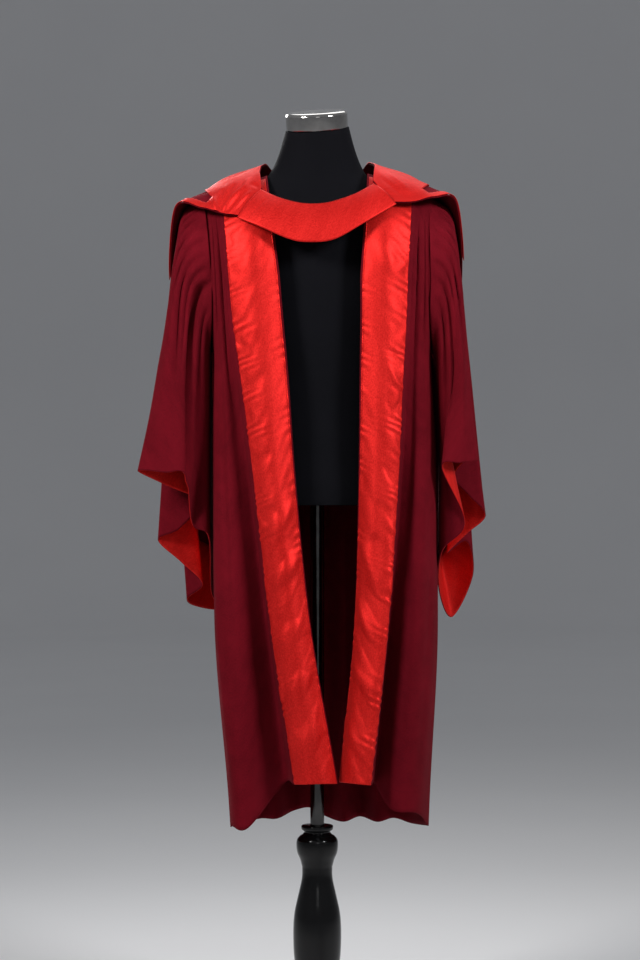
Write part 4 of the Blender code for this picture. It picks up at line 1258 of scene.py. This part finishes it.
# %% Scarlet satin
def scarlet_satin(name, seams=()):
    """Scarlet satin with stitched lines at given places across the cloth, in metres."""
    recipe = Recipe(name)
    flat = recipe.place()
    across_cloth, up_cloth, _ = recipe.parts(flat)
    floats = recipe.noise(recipe.place((1500, 150, 1)), 1.0, 1.0)
    grain = recipe.noise(recipe.place((360, 300, 1)), 1.0, 2.0, 0.65)
    streak = recipe.noise(recipe.place((70, 9, 1)), 1.0, 2.0)
    broad = recipe.noise(flat, 11.0, 2.0)
    shade = 0.26 * floats + 0.40 * grain + 0.18 * streak + 0.16 * broad
    colour = recipe.blend(shade.within(0.34, 0.66), rgb(0.47, 0.0080, 0.0070), rgb(0.76, 0.0230, 0.0195))
    height = 0.6 * floats + 1.0 * grain + 0.5 * streak
    for inset in seams:
        line = 1 - (across_cloth - inset).math("ABSOLUTE").within(0.0003, 0.0011)
        thread = stitches(recipe, across_cloth, up_cloth, inset, 0.0005)
        colour = recipe.blend(0.22 * line + 0.2 * thread, colour, rgb(0.36, 0.004, 0.005))
        height = height - 3.0 * line + 1.6 * thread
    recipe.relief(height, 0.00026, 0.6)
    return recipe.finish(Base_Color=colour, Metallic=0.42, Roughness=0.41 + 0.14 * grain,
                         Specular_IOR_Level=0.45, Specular_Tint=rgb(1.0, 0.20, 0.17),
                         Sheen_Weight=0.10, Sheen_Roughness=0.35, Sheen_Tint=rgb(1.0, 0.14, 0.10))


facing_satin = scarlet_satin("scarlet_satin_facing", (0.0026, 0.0885))
band_satin = scarlet_satin("scarlet_satin_band", (0.0035,))
plain_satin = scarlet_satin("scarlet_satin_plain")
print("satin is ready")

# %% [markdown]
# ## Jersey, chrome and lacquer
# The form's cover is a black stretch jersey: fine upright wales with a dull face. The cap is
# polished chrome with faint hairlines and a little haze. The tube is the same metal, a little duller,
# with its colour darkened all over as painted shade for the gown's shadow on it. The stand is turned
# wood under many coats of black lacquer, glossy, with a slight waviness and some dust where it lies level.

# %% Jersey
recipe = Recipe("black_jersey_cover")
solid = recipe.body_place()
x, y, z = recipe.parts(solid)
WALES_AROUND = 620
COURSE_PITCH = 0.0013
wales = (y.math("ARCTAN2", x) * WALES_AROUND).wave()
courses = (z * (TURN / COURSE_PITCH) + 1.6 * wales).wave()
fuzz = recipe.noise(solid, 900.0, 2.0)
patches = recipe.noise(solid, 14.0, 2.0)
tone = (0.5 * fuzz + 0.3 * patches + 0.2 * courses).within(0.2, 0.8)
colour = recipe.blend(tone, rgb(0.0026, 0.0026, 0.0036), rgb(0.0062, 0.0060, 0.0084))
recipe.relief(0.5 * wales + 0.4 * courses + 0.7 * fuzz, 0.00018, 0.7)
jersey = recipe.finish(Base_Color=colour, Roughness=0.84 + 0.12 * fuzz, Specular_IOR_Level=0.07,
                       Sheen_Weight=0.012, Sheen_Roughness=0.6, Sheen_Tint=rgb(0.6, 0.6, 0.8))

# %% Chrome
def metal(name, haze_scale, dark, light, polish, haze_share):
    """Chrome between two colours, with hairlines, and hazy where it has been handled."""
    recipe = Recipe(name)
    hairlines = recipe.noise(recipe.body_place((60, 60, 2600)), 1.0, 2.0)
    haze = recipe.noise(recipe.body_place(), haze_scale, 3.0, 0.6)
    recipe.relief(hairlines, 0.00003, 0.5)
    return recipe.finish(Base_Color=recipe.blend(haze.within(0.3, 0.7), dark, light), Metallic=1.0,
                         Roughness=polish + haze_share * haze.within(0.45, 0.75))


chrome = metal("polished_chrome", 38.0, rgb(0.40, 0.385, 0.37), rgb(0.50, 0.485, 0.465), 0.07, 0.10)
# The tube's two dark colours are painted shade, standing for the gown's shadow on the tube
tube = metal("tube_darkened_as_painted_shade", 30.0, rgb(0.095, 0.092, 0.090), rgb(0.15, 0.146, 0.142), 0.14, 0.12)

# %% Black lacquer
recipe = Recipe("black_lacquer_gloss")
solid = recipe.body_place()
ripple = recipe.noise(solid, 60.0, 2.0)
specks = recipe.noise(solid, 700.0, 1.0).within(0.70, 0.80)
dust = recipe.noise(solid, 24.0, 3.0, 0.6).within(0.45, 0.75)
lying = recipe.parts(recipe.add("ShaderNodeNewGeometry", None, (), 1))[2].within(0.5, 0.95)
dusty = 0.35 * dust * lying + 0.25 * specks
colour = recipe.blend(dusty, rgb(0.0035, 0.0035, 0.0038), rgb(0.030, 0.029, 0.028))
recipe.relief(ripple + 0.3 * specks, 0.00012, 0.5)
lacquer = recipe.finish(Base_Color=colour, Roughness=0.16 + 0.35 * dusty, Specular_IOR_Level=0.2,
                        Coat_Weight=0.2, Coat_Roughness=0.05)

# %% Put the materials on
FINISHES = {
    "front_panel_right": panel_cloth, "front_panel_left": panel_cloth, "back_panel": panel_cloth,
    "sleeve_cloth_right": plain_cloth, "sleeve_cloth_left": plain_cloth, "hood_cloth": plain_cloth,
    "satin_facing_right": facing_satin, "satin_facing_left": facing_satin, "neckband_satin": band_satin,
    "hood_satin": plain_satin, "sleeve_satin_right": plain_satin, "sleeve_satin_left": plain_satin,
    "jersey_form": jersey, "chrome_cap": chrome, "chrome_stem": tube, "turned_column": lacquer,
    "turned_foot": lacquer,
}
for name, finish in FINISHES.items():
    piece = bpy.data.objects[name]
    piece.data.materials.clear()
    piece.data.materials.append(finish)
print(len(FINISHES), "pieces have their finish")

# %% [markdown]
# ## Studio
# One wide pale bowl stands for the floor and the wall, so the robe has the same quiet
# surroundings from every side. Two soft lights stand high to the left and right of the camera.
# Their beams are narrowed to the chest, so the light falls off towards the hem as it does in the
# photograph. Weaker ones stand in front, above and behind, and a pale surround fills the shadows.
# The camera stands level, a metre above the floor, as the photograph's perspective shows.

# %% Studio bowl
SWEEP_FLOOR = 12000
SWEEP_BEND = 2000
SWEEP_TOP = 5000
BEND_STEPS = 12
FLOOR_DROP = 0.5
sweep_profile = [(0, -FLOOR_DROP)]
for number in range(BEND_STEPS + 1):
    angle = math.pi / 2 * number / BEND_STEPS
    reach = SWEEP_FLOOR + SWEEP_BEND * math.sin(angle)
    sweep_profile.append((reach, SWEEP_BEND * (1 - math.cos(angle)) - FLOOR_DROP))
sweep_profile.append((SWEEP_FLOOR + SWEEP_BEND, SWEEP_TOP))
bowl = spun("studio_sweep", sweep_profile)
recipe = Recipe("pale_sweep")
solid = recipe.body_place()
mottle = recipe.noise(solid, 1.3, 3.0)
bowl.data.materials.append(recipe.finish(
    Base_Color=recipe.blend(mottle, rgb(0.76, 0.76, 0.77), rgb(0.80, 0.80, 0.805)), Roughness=0.9))

# %% Lights and camera


def soft_light(name, place, height, size, power, colour, spread):
    """A square soft light that faces the form's axis at a height."""
    lamp = bpy.data.lights.new(name, "AREA")
    lamp.shape = "SQUARE"
    lamp.size = size
    lamp.energy = power
    lamp.color = colour
    lamp.spread = math.radians(spread)
    holder = bpy.data.objects.new(name, lamp)
    holder.location = place
    holder.rotation_euler = (Vector((0, 0, height)) - Vector(place)).to_track_quat("-Z", "Y").to_euler()
    bpy.context.scene.collection.objects.link(holder)


WHITE = (1.0, 1.0, 1.0)
# Name, place, the height that it faces, size in metres, power in watts, colour and beam
LIGHTS = (
    ("key_light", (-2.5, -2.2, 2.9), 1.58, 0.9, 17, (1.0, 0.985, 0.96), 68),
    ("fill_light", (2.6, -2.2, 2.8), 1.58, 0.9, 16, (0.97, 0.985, 1.0), 68),
    ("front_light", (0.3, -4.9, 2.3), 1.5, 1.2, 5, WHITE, 180),
    ("top_light", (0.2, 1.6, 3.4), 1.3, 1.4, 16, WHITE, 180),
    ("back_light", (-1.4, 3.4, 2.8), 1.4, 1.0, 12, WHITE, 68),
)
for light_row in LIGHTS:
    soft_light(*light_row)
surround = bpy.data.worlds.new("pale_surround")
surround.use_nodes = True
surround.node_tree.nodes["Background"].inputs["Color"].default_value = rgb(0.80, 0.82, 0.86)
surround.node_tree.nodes["Background"].inputs["Strength"].default_value = 0.30
bpy.context.scene.world = surround
bpy.context.scene.view_settings.view_transform = "Standard"

lens = bpy.data.cameras.new("camera")
lens.lens = 93.75
lens.sensor_width = 36
camera = bpy.data.objects.new("camera", lens)
camera.location = (0.005, -4.5, 1.0)
camera.rotation_euler = (math.pi / 2, 0, 0)
bpy.context.scene.collection.objects.link(camera)
bpy.context.scene.camera = camera
print("camera at", tuple(camera.location))
